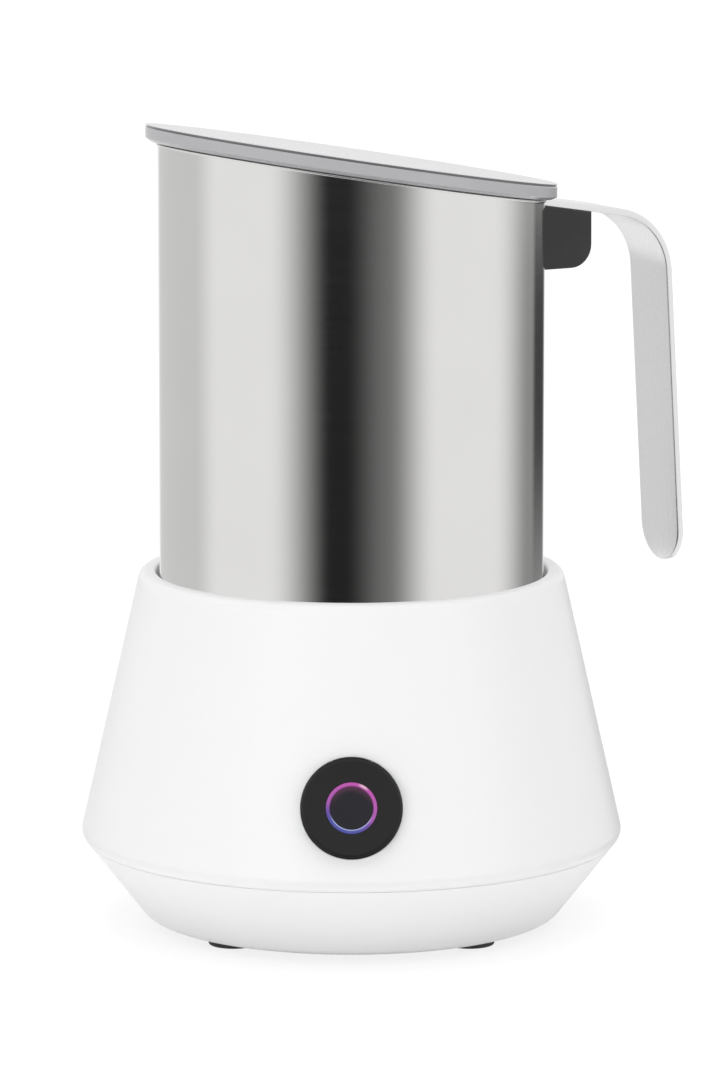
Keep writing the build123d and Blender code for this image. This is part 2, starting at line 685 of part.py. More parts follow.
def light_ring():
    dish = BUTTON_PROUD - BUTTON_DISH
    body = ring(LIGHT_INNER, LIGHT_OUTER, dish - LIGHT_DEPTH, dish)
    for step in range(LIGHT_COUNT):
        body += light_place(step) * disc(LIGHT_LEG, FLANGE_BOTTOM, dish - LIGHT_DEPTH)
    return BUTTON * body


# Jug and handle


def jug_body():
    top = RIM_Z + JUG_RADIUS
    outer_corner = (JUG_RADIUS, JUG_BOTTOM)
    inner_corner = (JUG_BORE, JUG_INSIDE)
    cup = spun(
        (0, JUG_BOTTOM), outer_corner, (JUG_RADIUS, top), (JUG_BORE, top), inner_corner, (0, JUG_INSIDE),
        rounds=((outer_corner, JUG_CORNER), (inner_corner, JUG_CORNER - JUG_WALL)),
    )
    body = cup & slab(RIM_Z - ROOM, RIM_Z)
    return turned(body + rim_lip(0))


def rim_lip(room):
    """The turned-out lip under the lid, or the space for it with some room around."""
    reach = ring(JUG_BORE, JUG_RADIUS + LIP_REACH + room, JUG_INSIDE, RIM_Z + JUG_RADIUS)
    return reach & slab(RIM_Z - LIP_HEIGHT - room, RIM_Z + room)


def arm_height(s):
    """The height of the strap's upper face at a distance from the axis."""
    return RIM_Z - STRAP_DROP - RIM_SLOPE * s


def block_bottom():
    return arm_height(BLOCK_REACH) - BLOCK_DEPTH


def offset_path(points, distance):
    """Moves a path to its right by a distance, with mitred corners."""
    normals = []
    for start, end in zip(points, points[1:]):
        run = (end[0] - start[0], end[1] - start[1])
        length = math.hypot(*run)
        normals.append((run[1] / length, -run[0] / length))
    moved = []
    for index, point in enumerate(points):
        before = normals[max(index - 1, 0)]
        after = normals[min(index, len(normals) - 1)]
        share = distance / (1 + before[0] * after[0] + before[1] * after[1])
        moved.append((point[0] + share * (before[0] + after[0]), point[1] + share * (before[1] + after[1])))
    return moved


def strap_path():
    """The strap's outer line in the handle's plane: up the jug wall, out along the arm, down the grip."""
    lean = math.tan(math.radians(GRIP_LEAN))
    corner_s = GRIP_REACH - lean * GRIP_LENGTH / 2
    corner = (corner_s, arm_height(corner_s))
    tip = (corner_s + lean * GRIP_LENGTH, corner[1] - GRIP_LENGTH)
    return [(STRAP_ROOT, block_bottom() - FLANGE_TAIL), (STRAP_ROOT, arm_height(STRAP_ROOT)), corner, tip]


def handle_strap():
    outer = strap_path()
    inner = offset_path(outer, STRAP_THICKNESS)
    rounds = (
        (outer[1], ROOT_BEND), (inner[1], ROOT_BEND - STRAP_THICKNESS),
        (outer[2], GRIP_BEND), (inner[2], GRIP_BEND - STRAP_THICKNESS),
    )
    face = make_face(Polyline(*outer, *reversed(inner), close=True))
    for corner, radius in rounds:
        face = fillet(face.vertices().sort_by_distance((*corner, 0))[0], radius)
    strap = extrude(Plane.XZ * face, STRAP_WIDTH / 2, both=True)
    tip = strap.faces().sort_by(Axis.Z)[0]
    corners = tip.edges().sort_by(SortBy.LENGTH)[:2]
    strap = fillet(corners, STRAP_WIDTH / 2 - RUNNING_GAP)
    strap -= disc(JUG_RADIUS, JUG_BOTTOM, RIM_Z + JUG_RADIUS)
    return turned(strap - rim_lip(RUNNING_GAP))


def handle_block():
    low = block_bottom()
    arm = STRAP_THICKNESS / math.cos(math.radians(RIM_TILT))
    outline = [
        (STRAP_FACE, low), (BLOCK_REACH, low),
        (BLOCK_REACH, arm_height(BLOCK_REACH) - arm), (STRAP_FACE, arm_height(STRAP_FACE) - arm),
    ]
    face = make_face(Polyline(*outline, close=True))
    rounds = (
        (outline[1], BLOCK_OUTER_ROUND), (outline[0], BLOCK_INNER_ROUND),
        (outline[3], ROOT_BEND - STRAP_THICKNESS + SLIP),
    )
    for point, radius in rounds:
        face = fillet(face.vertices().sort_by_distance((*point, 0))[0], radius)
    return turned(extrude(Plane.XZ * face, STRAP_WIDTH / 2, both=True))


# Lid


def lid_plate():
    tall = disc(LID_RADIUS, JUG_BOTTOM, LID_TOP + LID_RADIUS)
    plate = tall & slab(LID_BOTTOM, LID_TOP)
    rims = plate.edges().filter_by(GeomType.ELLIPSE).sort_by(Axis.Z)
    plate = fillet(rims[-1], LID_TOP_ROUND)
    low_rim = plate.edges().filter_by(GeomType.ELLIPSE).sort_by(Axis.Z)[0]
    plate = fillet(low_rim, LID_LOW_ROUND)
    wall = ring(SEAL_BORE - SLIP - PLUG_WALL, SEAL_BORE - SLIP, JUG_BOTTOM, LID_TOP + LID_RADIUS)
    return turned(plate + (wall & slab(LID_BOTTOM - PLUG_DEPTH, LID_BOTTOM)))


def lid_seal():
    top = LID_TOP + LID_RADIUS
    sleeve = ring(SEAL_BORE, SEAL_BORE + SEAL_WALL, JUG_BOTTOM, top) & slab(LID_BOTTOM - SEAL_HEIGHT, LID_BOTTOM)
    lips = ring(SEAL_BORE, SEAL_RADIUS, JUG_BOTTOM, top)
    for step in (1, 3):
        high = LID_BOTTOM - step * SEAL_LIP
        sleeve += lips & slab(high - SEAL_LIP, high)
    return turned(sleeve)


# Whisk


def whisk_pin():
    pin = disc(PIN_FOOT_RADIUS, JUG_INSIDE, JUG_INSIDE + PIN_FOOT) + disc(PIN_RADIUS, JUG_INSIDE, JUG_INSIDE + PIN_HEIGHT)
    return fillet(pin.edges().sort_by(Axis.Z)[-1], PIN_RADIUS / 2)


def whisk_hub():
    pin_top = JUG_INSIDE + PIN_HEIGHT + SEAT_GAP
    body = disc(HUB_RADIUS, HUB_BOTTOM, HUB_BOTTOM + HUB_HEIGHT)
    body += disc(HUB_BOSS_RADIUS, HUB_BOTTOM, pin_top + HUB_BOSS_TOP)
    body -= disc(PIN_RADIUS + RUNNING_GAP, HUB_BOTTOM, pin_top)
    for step in range(MAGNET_COUNT):
        pocket = disc(WHISK_MAGNET_RADIUS + RUNNING_GAP, HUB_BOTTOM, HUB_BOTTOM + WHISK_MAGNET_HEIGHT)
        body -= around(WHISK_MAGNET_RING, (step + 0.5) * 360 / MAGNET_COUNT) * pocket
    arm_start = WHISK_MAGNET_RING + WHISK_MAGNET_RADIUS + SEAT_GAP
    arm = Pos(arm_start, 0, CORE_Z) * Box(
        CORE_RING - arm_start, ARM_WIDTH, ARM_HEIGHT, align=(Align.MIN, Align.CENTER, Align.CENTER)
    )
    for angle in ARM_ANGLES:
        body += Rot(0, 0, angle) * arm
    return body + Pos(0, 0, CORE_Z) * Torus(CORE_RING, CORE_RADIUS)


def whisk_magnets():
    magnet = disc(WHISK_MAGNET_RADIUS, HUB_BOTTOM, HUB_BOTTOM + WHISK_MAGNET_HEIGHT)
    places = ((step + 0.5) * 360 / MAGNET_COUNT for step in range(MAGNET_COUNT))
    return group(around(WHISK_MAGNET_RING, angle) * magnet for angle in places)


def curl_point(turn):
    """A point of the wire and its direction, at a turn about Z in radians."""
    curl = turn * CURL_COUNT
    reach = CORE_RING + CURL_RADIUS * math.cos(curl)
    point = Vector(reach * math.cos(turn), reach * math.sin(turn), CORE_Z + CURL_RADIUS * math.sin(curl))
    out = -CURL_RADIUS * CURL_COUNT * math.sin(curl)
    direction = Vector(
        out * math.cos(turn) - reach * math.sin(turn),
        out * math.sin(turn) + reach * math.cos(turn),
        CURL_RADIUS * CURL_COUNT * math.cos(curl),
    )
    return point, direction.normalized()


def biarc(start, start_way, end, end_way):
    """Two arcs that join two points along given directions."""
    run = end - start
    both = start_way + end_way
    square = 2 * (1 - start_way.dot(end_way))
    slope = run.dot(both)
    reach = (math.sqrt(slope * slope + square * run.dot(run)) - slope) / square
    middle = (start + end + (start_way - end_way) * reach) * 0.5
    first = Edge.make_tangent_arc(start, start_way, middle)
    return [first, Edge.make_tangent_arc(middle, first % 1, end)]


def whisk_spring():
    gap = math.radians(CURL_GAP_TURN) / 2
    steps = 2 * CURL_COUNT
    turns = [gap + (2 * math.pi - 2 * gap) * step / steps for step in range(steps + 1)]
    places = [curl_point(turn) for turn in turns]
    edges = []
    for (start, start_way), (end, end_way) in zip(places, places[1:]):
        edges += biarc(start, start_way, end, end_way)
    first, first_way = places[0]
    last, last_way = places[-1]
    edges.insert(0, Line(first - first_way * 2 * WIRE_RADIUS, first).edge())
    edges.append(Line(last, last + last_way * 2 * WIRE_RADIUS).edge())
    path = Wire(edges)
    section = Plane(path @ 0, z_dir=path % 0) * Circle(WIRE_RADIUS)
    wire = sweep(section, path=path)
    print("whisk spring least gap", round(least_gap(path), 2))
    return wire


def least_gap(path, samples=720):
    """The least space between two stretches of the wire that are over a third of a curl apart."""
    points = [path @ (step / samples) for step in range(samples + 1)]
    apart = samples // (3 * CURL_COUNT)
    near = min((a - b).length for i, a in enumerate(points) for b in points[i + apart:])
    return near - 2 * WIRE_RADIUS


PIECES = {
    "upper_housing": upper_housing,
    "lower_housing": lower_housing,
    "housing_screws": housing_screws,
    "well_cup": well_cup,
    "well_plate": well_plate,
    "cord_gland": cord_gland,
    "coil_carrier": coil_carrier,
    "carrier_screws": carrier_screws,
    "induction_coil": induction_coil,
    "ferrite_bars": ferrite_bars,
    "temperature_sensor": temperature_sensor,
    "motor_bracket": motor_bracket,
    "bracket_screws": bracket_screws,
    "drive_motor": drive_motor,
    "motor_screws": motor_screws,
    "motor_shaft": motor_shaft,
    "magnet_rotor": magnet_rotor,
    "drive_magnets": drive_magnets,
    "power_board": power_board,
    "board_screws": board_screws,
    "film_capacitors": film_capacitors,
    "electrolytic_capacitor": electrolytic_capacitor,
    "choke": choke,
    "heat_sink": heat_sink,
    "power_transistor": power_transistor,
    "terminal_block": terminal_block,
    "fuse": fuse,
    "control_board": control_board,
    "control_board_screws": control_board_screws,
    "push_switch": push_switch,
    "indicator_lamps": indicator_lamps,
    "button_cap": button_cap,
    "light_ring": light_ring,
    "jug_body": jug_body,
    "handle_strap": handle_strap,
    "handle_block": handle_block,
    "whisk_pin": whisk_pin,
    "lid_plate": lid_plate,
    "lid_seal": lid_seal,
    "whisk_hub": whisk_hub,
    "whisk_magnets": whisk_magnets,
    "whisk_spring": whisk_spring,
}

os.makedirs("parts", exist_ok=True)
for name, make in PIECES.items():
    export_step(make(), f"parts/{name}.step")
for side, angle in FOOT_SIDES.items():
    export_step(foot(angle), f"parts/foot_{side}.step")
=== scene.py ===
"""Looks of the milk frother: detailed pieces, materials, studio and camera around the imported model.

Everything is in metres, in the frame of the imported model: +Z up, the button on the -Y side.
"""

import json
import math

import bmesh
import bpy
from mathutils import Matrix, Vector

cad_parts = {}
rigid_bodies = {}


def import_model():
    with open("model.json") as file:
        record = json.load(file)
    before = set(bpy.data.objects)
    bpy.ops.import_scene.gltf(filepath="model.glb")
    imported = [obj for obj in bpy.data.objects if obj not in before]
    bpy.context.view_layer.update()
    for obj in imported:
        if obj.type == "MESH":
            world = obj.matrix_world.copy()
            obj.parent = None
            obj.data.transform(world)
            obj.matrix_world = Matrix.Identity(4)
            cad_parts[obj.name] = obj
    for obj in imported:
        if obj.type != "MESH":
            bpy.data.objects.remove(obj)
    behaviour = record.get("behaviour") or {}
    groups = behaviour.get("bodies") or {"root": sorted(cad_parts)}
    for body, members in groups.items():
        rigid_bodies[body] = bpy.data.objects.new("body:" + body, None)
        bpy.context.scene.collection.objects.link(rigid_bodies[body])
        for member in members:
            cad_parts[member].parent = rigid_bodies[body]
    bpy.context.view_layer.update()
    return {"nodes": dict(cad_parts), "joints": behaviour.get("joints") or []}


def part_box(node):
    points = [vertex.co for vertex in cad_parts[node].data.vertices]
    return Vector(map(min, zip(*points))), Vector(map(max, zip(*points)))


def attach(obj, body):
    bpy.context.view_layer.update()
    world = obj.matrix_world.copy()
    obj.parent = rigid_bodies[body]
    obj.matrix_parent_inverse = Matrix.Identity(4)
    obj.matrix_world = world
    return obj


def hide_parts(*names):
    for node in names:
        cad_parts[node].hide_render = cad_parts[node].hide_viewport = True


for leftover in list(bpy.data.objects):
    bpy.data.objects.remove(leftover)
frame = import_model()

MM = 0.001

# Base
WIDE_RADIUS = 65.2 * MM
WIDE_Z = 22.1 * MM
WIDE_ROUND = 3.2 * MM
LOWER_SLOPE = 15.7 / 20.1
TOP_RADIUS = 50.7 * MM
RIM_ROUND = 2.0 * MM
MOUTH_ROUND = 0.7 * MM
SEAM_LIP = 0.3 * MM
SEAM_LINE = 0.18 * MM
WALL = 2.4 * MM
WELL_RADIUS = 47.0 * MM

# Button and its light ring
BUTTON_HEIGHT = 39.9 * MM
BUTTON_RADIUS = 11.7 * MM
BUTTON_BORE = 11.85 * MM
BUTTON_PROUD = 1.5 * MM
BUTTON_DISH = 0.25 * MM
BUTTON_EDGE = 0.8 * MM
BUTTON_DEPTH = 8.0 * MM
BORE_ROUND = 0.2 * MM
BORE_START = math.radians(20.0)
LIGHT_OUTER = 5.95 * MM
LIGHT_INNER = 5.02 * MM
LIGHT_DEPTH = 1.2 * MM
LIGHT_ROUND = 0.2 * MM
LIGHT_GAP = 0.05 * MM

# Jug
JUG_TURN = math.radians(29.0)
JUG_RADIUS = 46.0 * MM
JUG_WALL = 0.8 * MM
JUG_CORNER = 4.0 * MM
RIM_SLOPE = math.tan(math.radians(9.5))
LIP_REACH = 0.9 * MM
BEAD_REACH = 0.4 * MM
BEAD_HEIGHT = 0.4 * MM
BEAD_ROUND = 0.18 * MM

# Handle
STRAP_WIDTH = 17.0 * MM
STRAP_THICKNESS = 1.6 * MM
STRAP_EDGE = 0.3 * MM
TIP_EDGE_SHARE = 0.8
STRAP_DROP = 0.3 * MM
STRAP_BITE = 0.4 * MM
ROOT_BEND = 2.6 * MM
GRIP_BEND = 17.0 * MM
GRIP_STANDOFF = 40.2 * MM
GRIP_LEAN = math.tan(math.radians(3.4))
GRIP_LENGTH = 86.2 * MM
BLOCK_LENGTH = 14.5 * MM
BLOCK_DEPTH = 15.0 * MM
BLOCK_OUTER_ROUND = 5.5 * MM
BLOCK_INNER_ROUND = 1.0 * MM
BLOCK_EDGE = 0.5 * MM
FLANGE_TAIL = 0.6 * MM

# Lid
LID_GAP = 0.3 * MM
LID_RADIUS = 48.9 * MM
LID_THICKNESS = 4.0 * MM
LID_TOP_ROUND = 0.12 * MM
LID_LOW_ROUND = 0.3 * MM
LID_CAP = 0.15 * MM
LID_GROOVE = 0.5 * MM
LID_GROOVE_DEPTH = 0.2 * MM
LID_FOOT = 0.8 * MM
LID_BEVEL = 1.4 * MM
PLUG_RADIUS = 41.9 * MM
PLUG_WALL = 2.0 * MM
PLUG_DEPTH = 6.0 * MM

# Whisk spring
CORE_RING = 18.0 * MM
CURL_COUNT = 18
CURL_RADIUS = 2.8 * MM
WIRE_RADIUS = 0.45 * MM
CURL_GAP = math.radians(4.0)

# Angles between faces from which an edge stays sharp
CREASE = math.radians(40.0)
SHELL_CREASE = math.radians(17.0)

# Surface detail
POLISH_START = 0.2 * MM
POLISH_END = 0.5 * MM
STRAND_PITCH = 0.8 * MM
STRAND_DEPTH = 0.1 * MM
TRACE_DEPTH = 0.02 * MM
WELL_RING_PITCH = 1.6 * MM
WELL_RING_DEPTH = 0.03 * MM
# Width over which the painted shade in the lid's groove and on its foot fades in
LID_SHADE_EDGE = 0.06 * MM

# Glow of the light ring: how its colours slant, the painted highlight on its pale inner edge, its painted
# highlight spot, and its pink painted as a glow on the disc
SLANT_ACROSS = 0.37
SLANT_UP = 0.93
INNER_START = LIGHT_INNER + 0.3 * MM
INNER_FULL = LIGHT_INNER + 0.1 * MM
BELOW_START = -0.15 * LIGHT_OUTER
BELOW_FULL = -0.6 * LIGHT_OUTER
# Where the painted highlight spot sits and how far it reaches, and the streak that keeps it off the inner
# edge
HIGHLIGHT_SPOT_ACROSS = 0.47 * LIGHT_OUTER
HIGHLIGHT_SPOT_UP = 0.83 * LIGHT_OUTER
HIGHLIGHT_SPOT_REACH = 1.6 * MM
HIGHLIGHT_SPOT_CORE = 0.3 * MM
HIGHLIGHT_STREAK_START = LIGHT_INNER + 0.15 * MM
HIGHLIGHT_STREAK_FULL = LIGHT_INNER + 0.55 * MM
# Where the pink glow painted on the button's disc begins and ends
PAINTED_GLOW_START = LIGHT_INNER - 1.7 * MM
PAINTED_GLOW_END = LIGHT_INNER + 0.3 * MM
PAINTED_GLOW_FULL = LIGHT_INNER + 0.2 * MM

# Floor
FLOOR_RADIUS = 9.0
GLOW_NEAR = 0.5
GLOW_FAR = 2.6
NEAR_STRENGTH = 1.08
FAR_STRENGTH = 1.2
GLOW_SHARE = 0.75

# World: its light on matt surfaces, and the dark flags in what polished metal mirrors
AMBIENT = 0.55
MIRROR_LEVEL = 0.96
FRONT_FLAG = dict(left=(-51, -12), right=(53, 21), low=(-0.94, -0.8), high=(0.02, -0.05), darkness=0.98)
FRONT_WEAKENS = (-4, 26)
FRONT_LOSS = 0.2
REAR_FLAGS = (
    dict(left=(93, 133), right=(176, 162), low=(-0.42, -0.28), high=(-0.05, -0.135), darkness=0.68),
    dict(left=(136, 144), right=(174, 160), low=(-0.182, -0.148), high=(-0.08, -0.13), darkness=0.26),
    dict(left=(-172, -160), right=(-86, -108), low=(-0.42, -0.28), high=(-0.02, -0.08), darkness=0.27),
)
BACK_SIDES = (158, 174)
BACK_HIGH = (-0.5, -0.62)
BACK_LOW = (-0.95, -0.85)
BACK_DARKNESS = 0.8

# Lamps and camera, which is fitted to the photograph
LAMP_TARGET = Vector((0, 0, 0.09))
CAMERA_PLACE = (0.0, -1.5221, 0.3503)
CAMERA_PITCH = math.radians(80.39)
CAMERA_LENS = 214.7
CAMERA_SENSOR = 36.0
CAMERA_REACH = 50.0

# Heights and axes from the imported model
SEAM_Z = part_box("upper_housing")[0].z
BASE_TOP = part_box("upper_housing")[1].z
CUP_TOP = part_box("well_cup")[1].z
JUG_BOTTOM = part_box("jug_body")[0].z
RIM_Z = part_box("jug_body")[1].z - RIM_SLOPE * (JUG_RADIUS + LIP_REACH)
LID_BOTTOM = RIM_Z + LID_GAP
LID_TOP = LID_BOTTOM + LID_THICKNESS
SPRING_Z = sum(corner.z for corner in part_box("whisk_spring")) / 2
UPPER_SLOPE = (WIDE_RADIUS - TOP_RADIUS) / (BASE_TOP - WIDE_Z)
STRAP_FACE = JUG_RADIUS - STRAP_BITE + STRAP_THICKNESS
BLOCK_REACH = STRAP_FACE + BLOCK_LENGTH
TURNED = Matrix.Rotation(JUG_TURN, 4, "Z")

press = next(joint for joint in frame["joints"] if joint["name"] == "button_press")
OUTWARD = -Vector(press["axis"]).normalized()
RIGHT = Vector((1, 0, 0))
BUTTON_UP = OUTWARD.cross(RIGHT)
BUTTON_CENTRE = Vector((0, UPPER_SLOPE * (BUTTON_HEIGHT - WIDE_Z) - WIDE_RADIUS, BUTTON_HEIGHT))
BUTTON = Matrix.Translation(BUTTON_CENTRE) @ Matrix((RIGHT, BUTTON_UP, OUTWARD)).transposed().to_4x4()


# Node helpers

# The range that most values of a noise lie in
NOISE_LOW = 0.3
NOISE_HIGH = 0.7

# Where a Mix node keeps its factor and its two colours, and the colour that comes out
MIX_INPUTS = (0, 6, 7)
MIX_OUTPUT = 2


class Nodes:
    """The node tree of a material or of the world."""

    def __init__(self, owner):
        owner.use_nodes = True
        self.nodes = owner.node_tree.nodes
        self.links = owner.node_tree.links

    def join(self, value, socket):
        """Feeds a socket from another node's output, or with a constant."""
        if isinstance(value, bpy.types.NodeSocket):
            self.links.new(value, socket)
        else:
            socket.default_value = value

    def fill(self, node, **sockets):
        for name, value in sockets.items():
            self.join(value, node.inputs[name.replace("_", " ")])

    def add(self, kind, settings=None, **sockets):
        """A new node with its settings and sockets filled in; gives its first output."""
        node = self.nodes.new("ShaderNode" + kind)
        for name, value in (settings or {}).items():
            setattr(node, name, value)
        self.fill(node, **sockets)
        return node.outputs[0]

    def math(self, operation, *values):
        node = self.nodes.new("ShaderNodeMath")
        node.operation = operation
        for value, socket in zip(values, node.inputs):
            self.join(value, socket)
        return node.outputs[0]

    def product(self, result, *factors):
        for factor in factors:
            result = self.math("MULTIPLY", result, factor)
        return result

    def distance(self, across, up):
        """The length of a step that goes across and up."""
        return self.math("SQRT", self.math("ADD", self.product(across, across), self.product(up, up)))

    def fade(self, value, start, end):
        """0 at start, 1 at end, smooth between."""
        curve = {"interpolation_type": "SMOOTHSTEP"}
        return self.add("MapRange", curve, Value=value, From_Min=start, From_Max=end)

    def split(self, vector):
        """The X, Y and Z of a vector."""
        node = self.nodes.new("ShaderNodeSeparateXYZ")
        self.links.new(vector, node.inputs[0])
        return tuple(node.outputs)

    def seen(self):
        """1 for what the camera sees directly or through clear pieces, else 0."""
        rays = self.nodes.new("ShaderNodeLightPath").outputs
        return self.math("MAXIMUM", rays["Is Camera Ray"], rays["Is Transmission Ray"])


class Recipe(Nodes):
    """A material whose Principled shader gets its detail from procedural nodes."""

    def __init__(self, name, colour, roughness, metallic=0.0, **sockets):
        self.material = bpy.data.materials.new(name)
        super().__init__(self.material)
        self.shader = self.nodes["Principled BSDF"]
        self.colour = colour
        self.set(Base_Color=(*colour, 1), Roughness=roughness, Metallic=metallic, **sockets)

    def set(self, **sockets):
        self.fill(self.shader, **sockets)

    def source(self, name):
        """What feeds one of the shader's sockets."""
        return self.shader.inputs[name].links[0].from_socket

    def mapped(self, **sockets):
        """Coordinates on the object, through a Mapping node."""
        coordinates = self.nodes.new("ShaderNodeTexCoord").outputs["Object"]
        return self.add("Mapping", Vector=coordinates, **sockets)

    def place(self, stretch=(1, 1, 1), turn=0.0):
        """Coordinates on the object, stretched and then turned about Z."""
        return self.mapped(Rotation=(0, 0, turn), Scale=stretch)

    def on_button(self):
        """Places in the button's plane: to the right, upwards, and the distance from its axis."""
        back = BUTTON.inverted()
        turned = self.mapped(Rotation=back.to_euler(), Location=back.translation)
        across, up = self.split(turned)[:2]
        return across, up, self.distance(across, up)

    def radius(self):
        """Distance from the Z axis."""
        node = self.nodes.new("ShaderNodeVectorMath")
        node.operation = "LENGTH"
        self.links.new(self.place(stretch=(1, 1, 0)), node.inputs[0])
        return node.outputs["Value"]

    def rings(self, pitch):
        """A wave that runs out from the Z axis."""
        return self.math("SINE", self.product(self.radius(), 2 * math.pi / pitch))

    def cells(self, output, scale, distance="EUCLIDEAN"):
        """Voronoi cells, by the named output."""
        node = self.nodes.new("ShaderNodeTexVoronoi")
        node.distance = distance
        self.fill(node, Vector=self.place(), Scale=scale)
        return node.outputs[output]

    def noise(self, scale, detail=2.0, **placing):
        return self.add("TexNoise", Vector=self.place(**placing), Scale=scale, Detail=detail)

    def drift(self, low, high, scale, **placing):
        """A noise that runs from one value to another."""
        limits = {"From_Min": NOISE_LOW, "From_Max": NOISE_HIGH, "To_Min": low, "To_Max": high}
        return self.add("MapRange", Value=self.noise(scale, **placing), **limits)

    def ramp(self, value, *stops):
        """A colour ramp through (position, colour) stops."""
        node = self.nodes.new("ShaderNodeValToRGB")
        self.links.new(value, node.inputs[0])
        elements = node.color_ramp.elements
        while len(elements) < len(stops):
            elements.new(1.0)
        for element, (position, colour) in zip(elements, stops):
            element.position = position
            element.color = (*colour, 1)
        return node.outputs[0]

    def blend(self, factor, tint, colour):
        """The tint of another node, turned into a plain colour where the factor is 1."""
        node = self.nodes.new("ShaderNodeMix")
        node.data_type = "RGBA"
        for index, value in zip(MIX_INPUTS, (factor, tint, (*colour, 1))):
            self.join(value, node.inputs[index])
        return node.outputs[MIX_OUTPUT]

    def mottle(self, spread, scale):
        """Lets the colour drift by a share of itself."""
        dark = [channel * (1 - spread) for channel in self.colour]
        pale = [min(channel * (1 + spread), 1) for channel in self.colour]
        self.set(Base_Color=self.ramp(self.noise(scale), (NOISE_LOW, dark), (NOISE_HIGH, pale)))

    def vary_roughness(self, low, high, scale, **placing):
        self.set(Roughness=self.drift(low, high, scale, **placing))

    def relief(self, height, depth):
        self.set(Normal=self.add("Bump", Height=height, Strength=1.0, Distance=depth))

    def grain(self, depth, scale, detail=2.0, **placing):
        """Fine relief over the whole surface."""
        self.relief(self.noise(scale, detail, **placing), depth)


# Materials

# How a noise is stretched into lines: square to X, level and long, level and shorter
BRUSHED = (220, 4, 4)
LATHED = (0.6, 0.6, 60)
DRAWN = (1, 1, 30)


def plastic(name, colour, roughness, scale=2200, depth=0.004 * MM, spread=0.015, wear=0.05):
    """A moulded material: fine grain, with a colour and a gloss that drift a little."""
    made = Recipe(name, colour, roughness)
    made.mottle(spread, scale=35)
    made.vary_roughness(roughness - wear, roughness + wear, scale=180)
    made.grain(depth, scale, detail=3)
    return made


def metal(name, colour, roughness, stretch=(1, 1, 1), turn=0.0, scale=60, depth=0.001 * MM, spread=0.03):
    """A metal whose polishing lines run along the axes that are stretched least."""
    made = Recipe(name, colour, roughness, metallic=1.0)
    smoothest = roughness * 0.8
    roughest = roughness * 1.25
    made.mottle(spread, scale=45)
    made.vary_roughness(smoothest, roughest, scale, stretch=stretch, turn=turn)
    made.grain(depth, scale, detail=4, stretch=stretch, turn=turn)
    return made


def white_housing():
    white = (0.88, 0.88, 0.883)
    return plastic("white_housing", white, 0.3, scale=2600, depth=0.0012 * MM, spread=0.003, wear=0.015)


def foot_rubber():
    return plastic("foot_rubber", (0.045, 0.045, 0.047), 0.75, scale=1400, depth=0.03 * MM, spread=0.1)


def gland_rubber():
    return plastic("gland_rubber", (0.7, 0.7, 0.7), 0.6, scale=1400, depth=0.02 * MM, spread=0.03)


def well_dark():
    """Heat-proof disc with fine turned rings."""
    made = Recipe("well_dark", (0.03, 0.03, 0.032), 0.4)
    rings = made.rings(WELL_RING_PITCH)
    made.set(Base_Color=made.ramp(rings, (0.0, (0.026, 0.026, 0.028)), (1.0, (0.042, 0.042, 0.045))))
    made.vary_roughness(low=0.34, high=0.5, scale=240)
    made.relief(rings, WELL_RING_DEPTH)
    return made


def carrier_plastic():
    return plastic("carrier_plastic", (0.6, 0.57, 0.5), 0.55, scale=1500, depth=0.02 * MM, spread=0.06)


def coil_copper():
    """Varnished strands laid in rings."""
    made = Recipe("coil_copper", (0.48, 0.2, 0.09), 0.3, metallic=0.9, Coat_Weight=0.5)
    rings = made.rings(STRAND_PITCH)
    made.set(Base_Color=made.ramp(rings, (0.0, (0.2, 0.07, 0.03)), (0.6, (0.55, 0.24, 0.11))))
    made.relief(rings, STRAND_DEPTH)
    return made


def ferrite():
    return plastic("ferrite", (0.045, 0.045, 0.05), 0.5, scale=1800, depth=0.03 * MM, spread=0.25)


def sensor_metal():
    return metal("sensor_metal", (0.75, 0.75, 0.76), 0.3, stretch=LATHED)


def motor_can():
    """Zinc plating with its spangle."""
    made = Recipe("motor_can", (0.52, 0.53, 0.55), 0.35, metallic=1.0)
    spangle = made.cells("Color", scale=260.0)
    made.set(Roughness=made.add("MapRange", Value=spangle, To_Min=0.25, To_Max=0.45))
    made.grain(depth=0.002 * MM, scale=900)
    return made


def screw_steel():
    return metal("screw_steel", (0.56, 0.56, 0.58), 0.28, scale=500)


def rotor_plastic():
    return plastic("rotor_plastic", (0.03, 0.03, 0.032), 0.42, scale=1600, depth=0.01 * MM, spread=0.1)


def magnet():
    return metal("magnet", (0.55, 0.54, 0.52), 0.22, scale=400)


def board_green():
    """Solder mask over copper traces."""
    made = Recipe("board_green", (0.02, 0.13, 0.05), 0.35)
    traces = made.cells("Distance", scale=320.0, distance="MANHATTAN")
    made.set(Base_Color=made.ramp(traces, (0.28, (0.03, 0.2, 0.08)), (0.42, (0.015, 0.1, 0.04))))
    made.relief(traces, TRACE_DEPTH)
    return made


def capacitor_yellow():
    return plastic("capacitor_yellow", (0.72, 0.5, 0.06), 0.3, scale=900)


def capacitor_black():
    return plastic("capacitor_black", (0.025, 0.025, 0.03), 0.32, scale=1200, depth=0.01 * MM, spread=0.1)


def sink_aluminium():
    return metal("sink_aluminium", (0.8, 0.8, 0.81), 0.35, stretch=DRAWN)


def terminal_green():
    return plastic("terminal_green", (0.05, 0.3, 0.12), 0.35)


def lamp_clear():
    return plastic("lamp_clear", (0.8, 0.8, 0.78), 0.15)


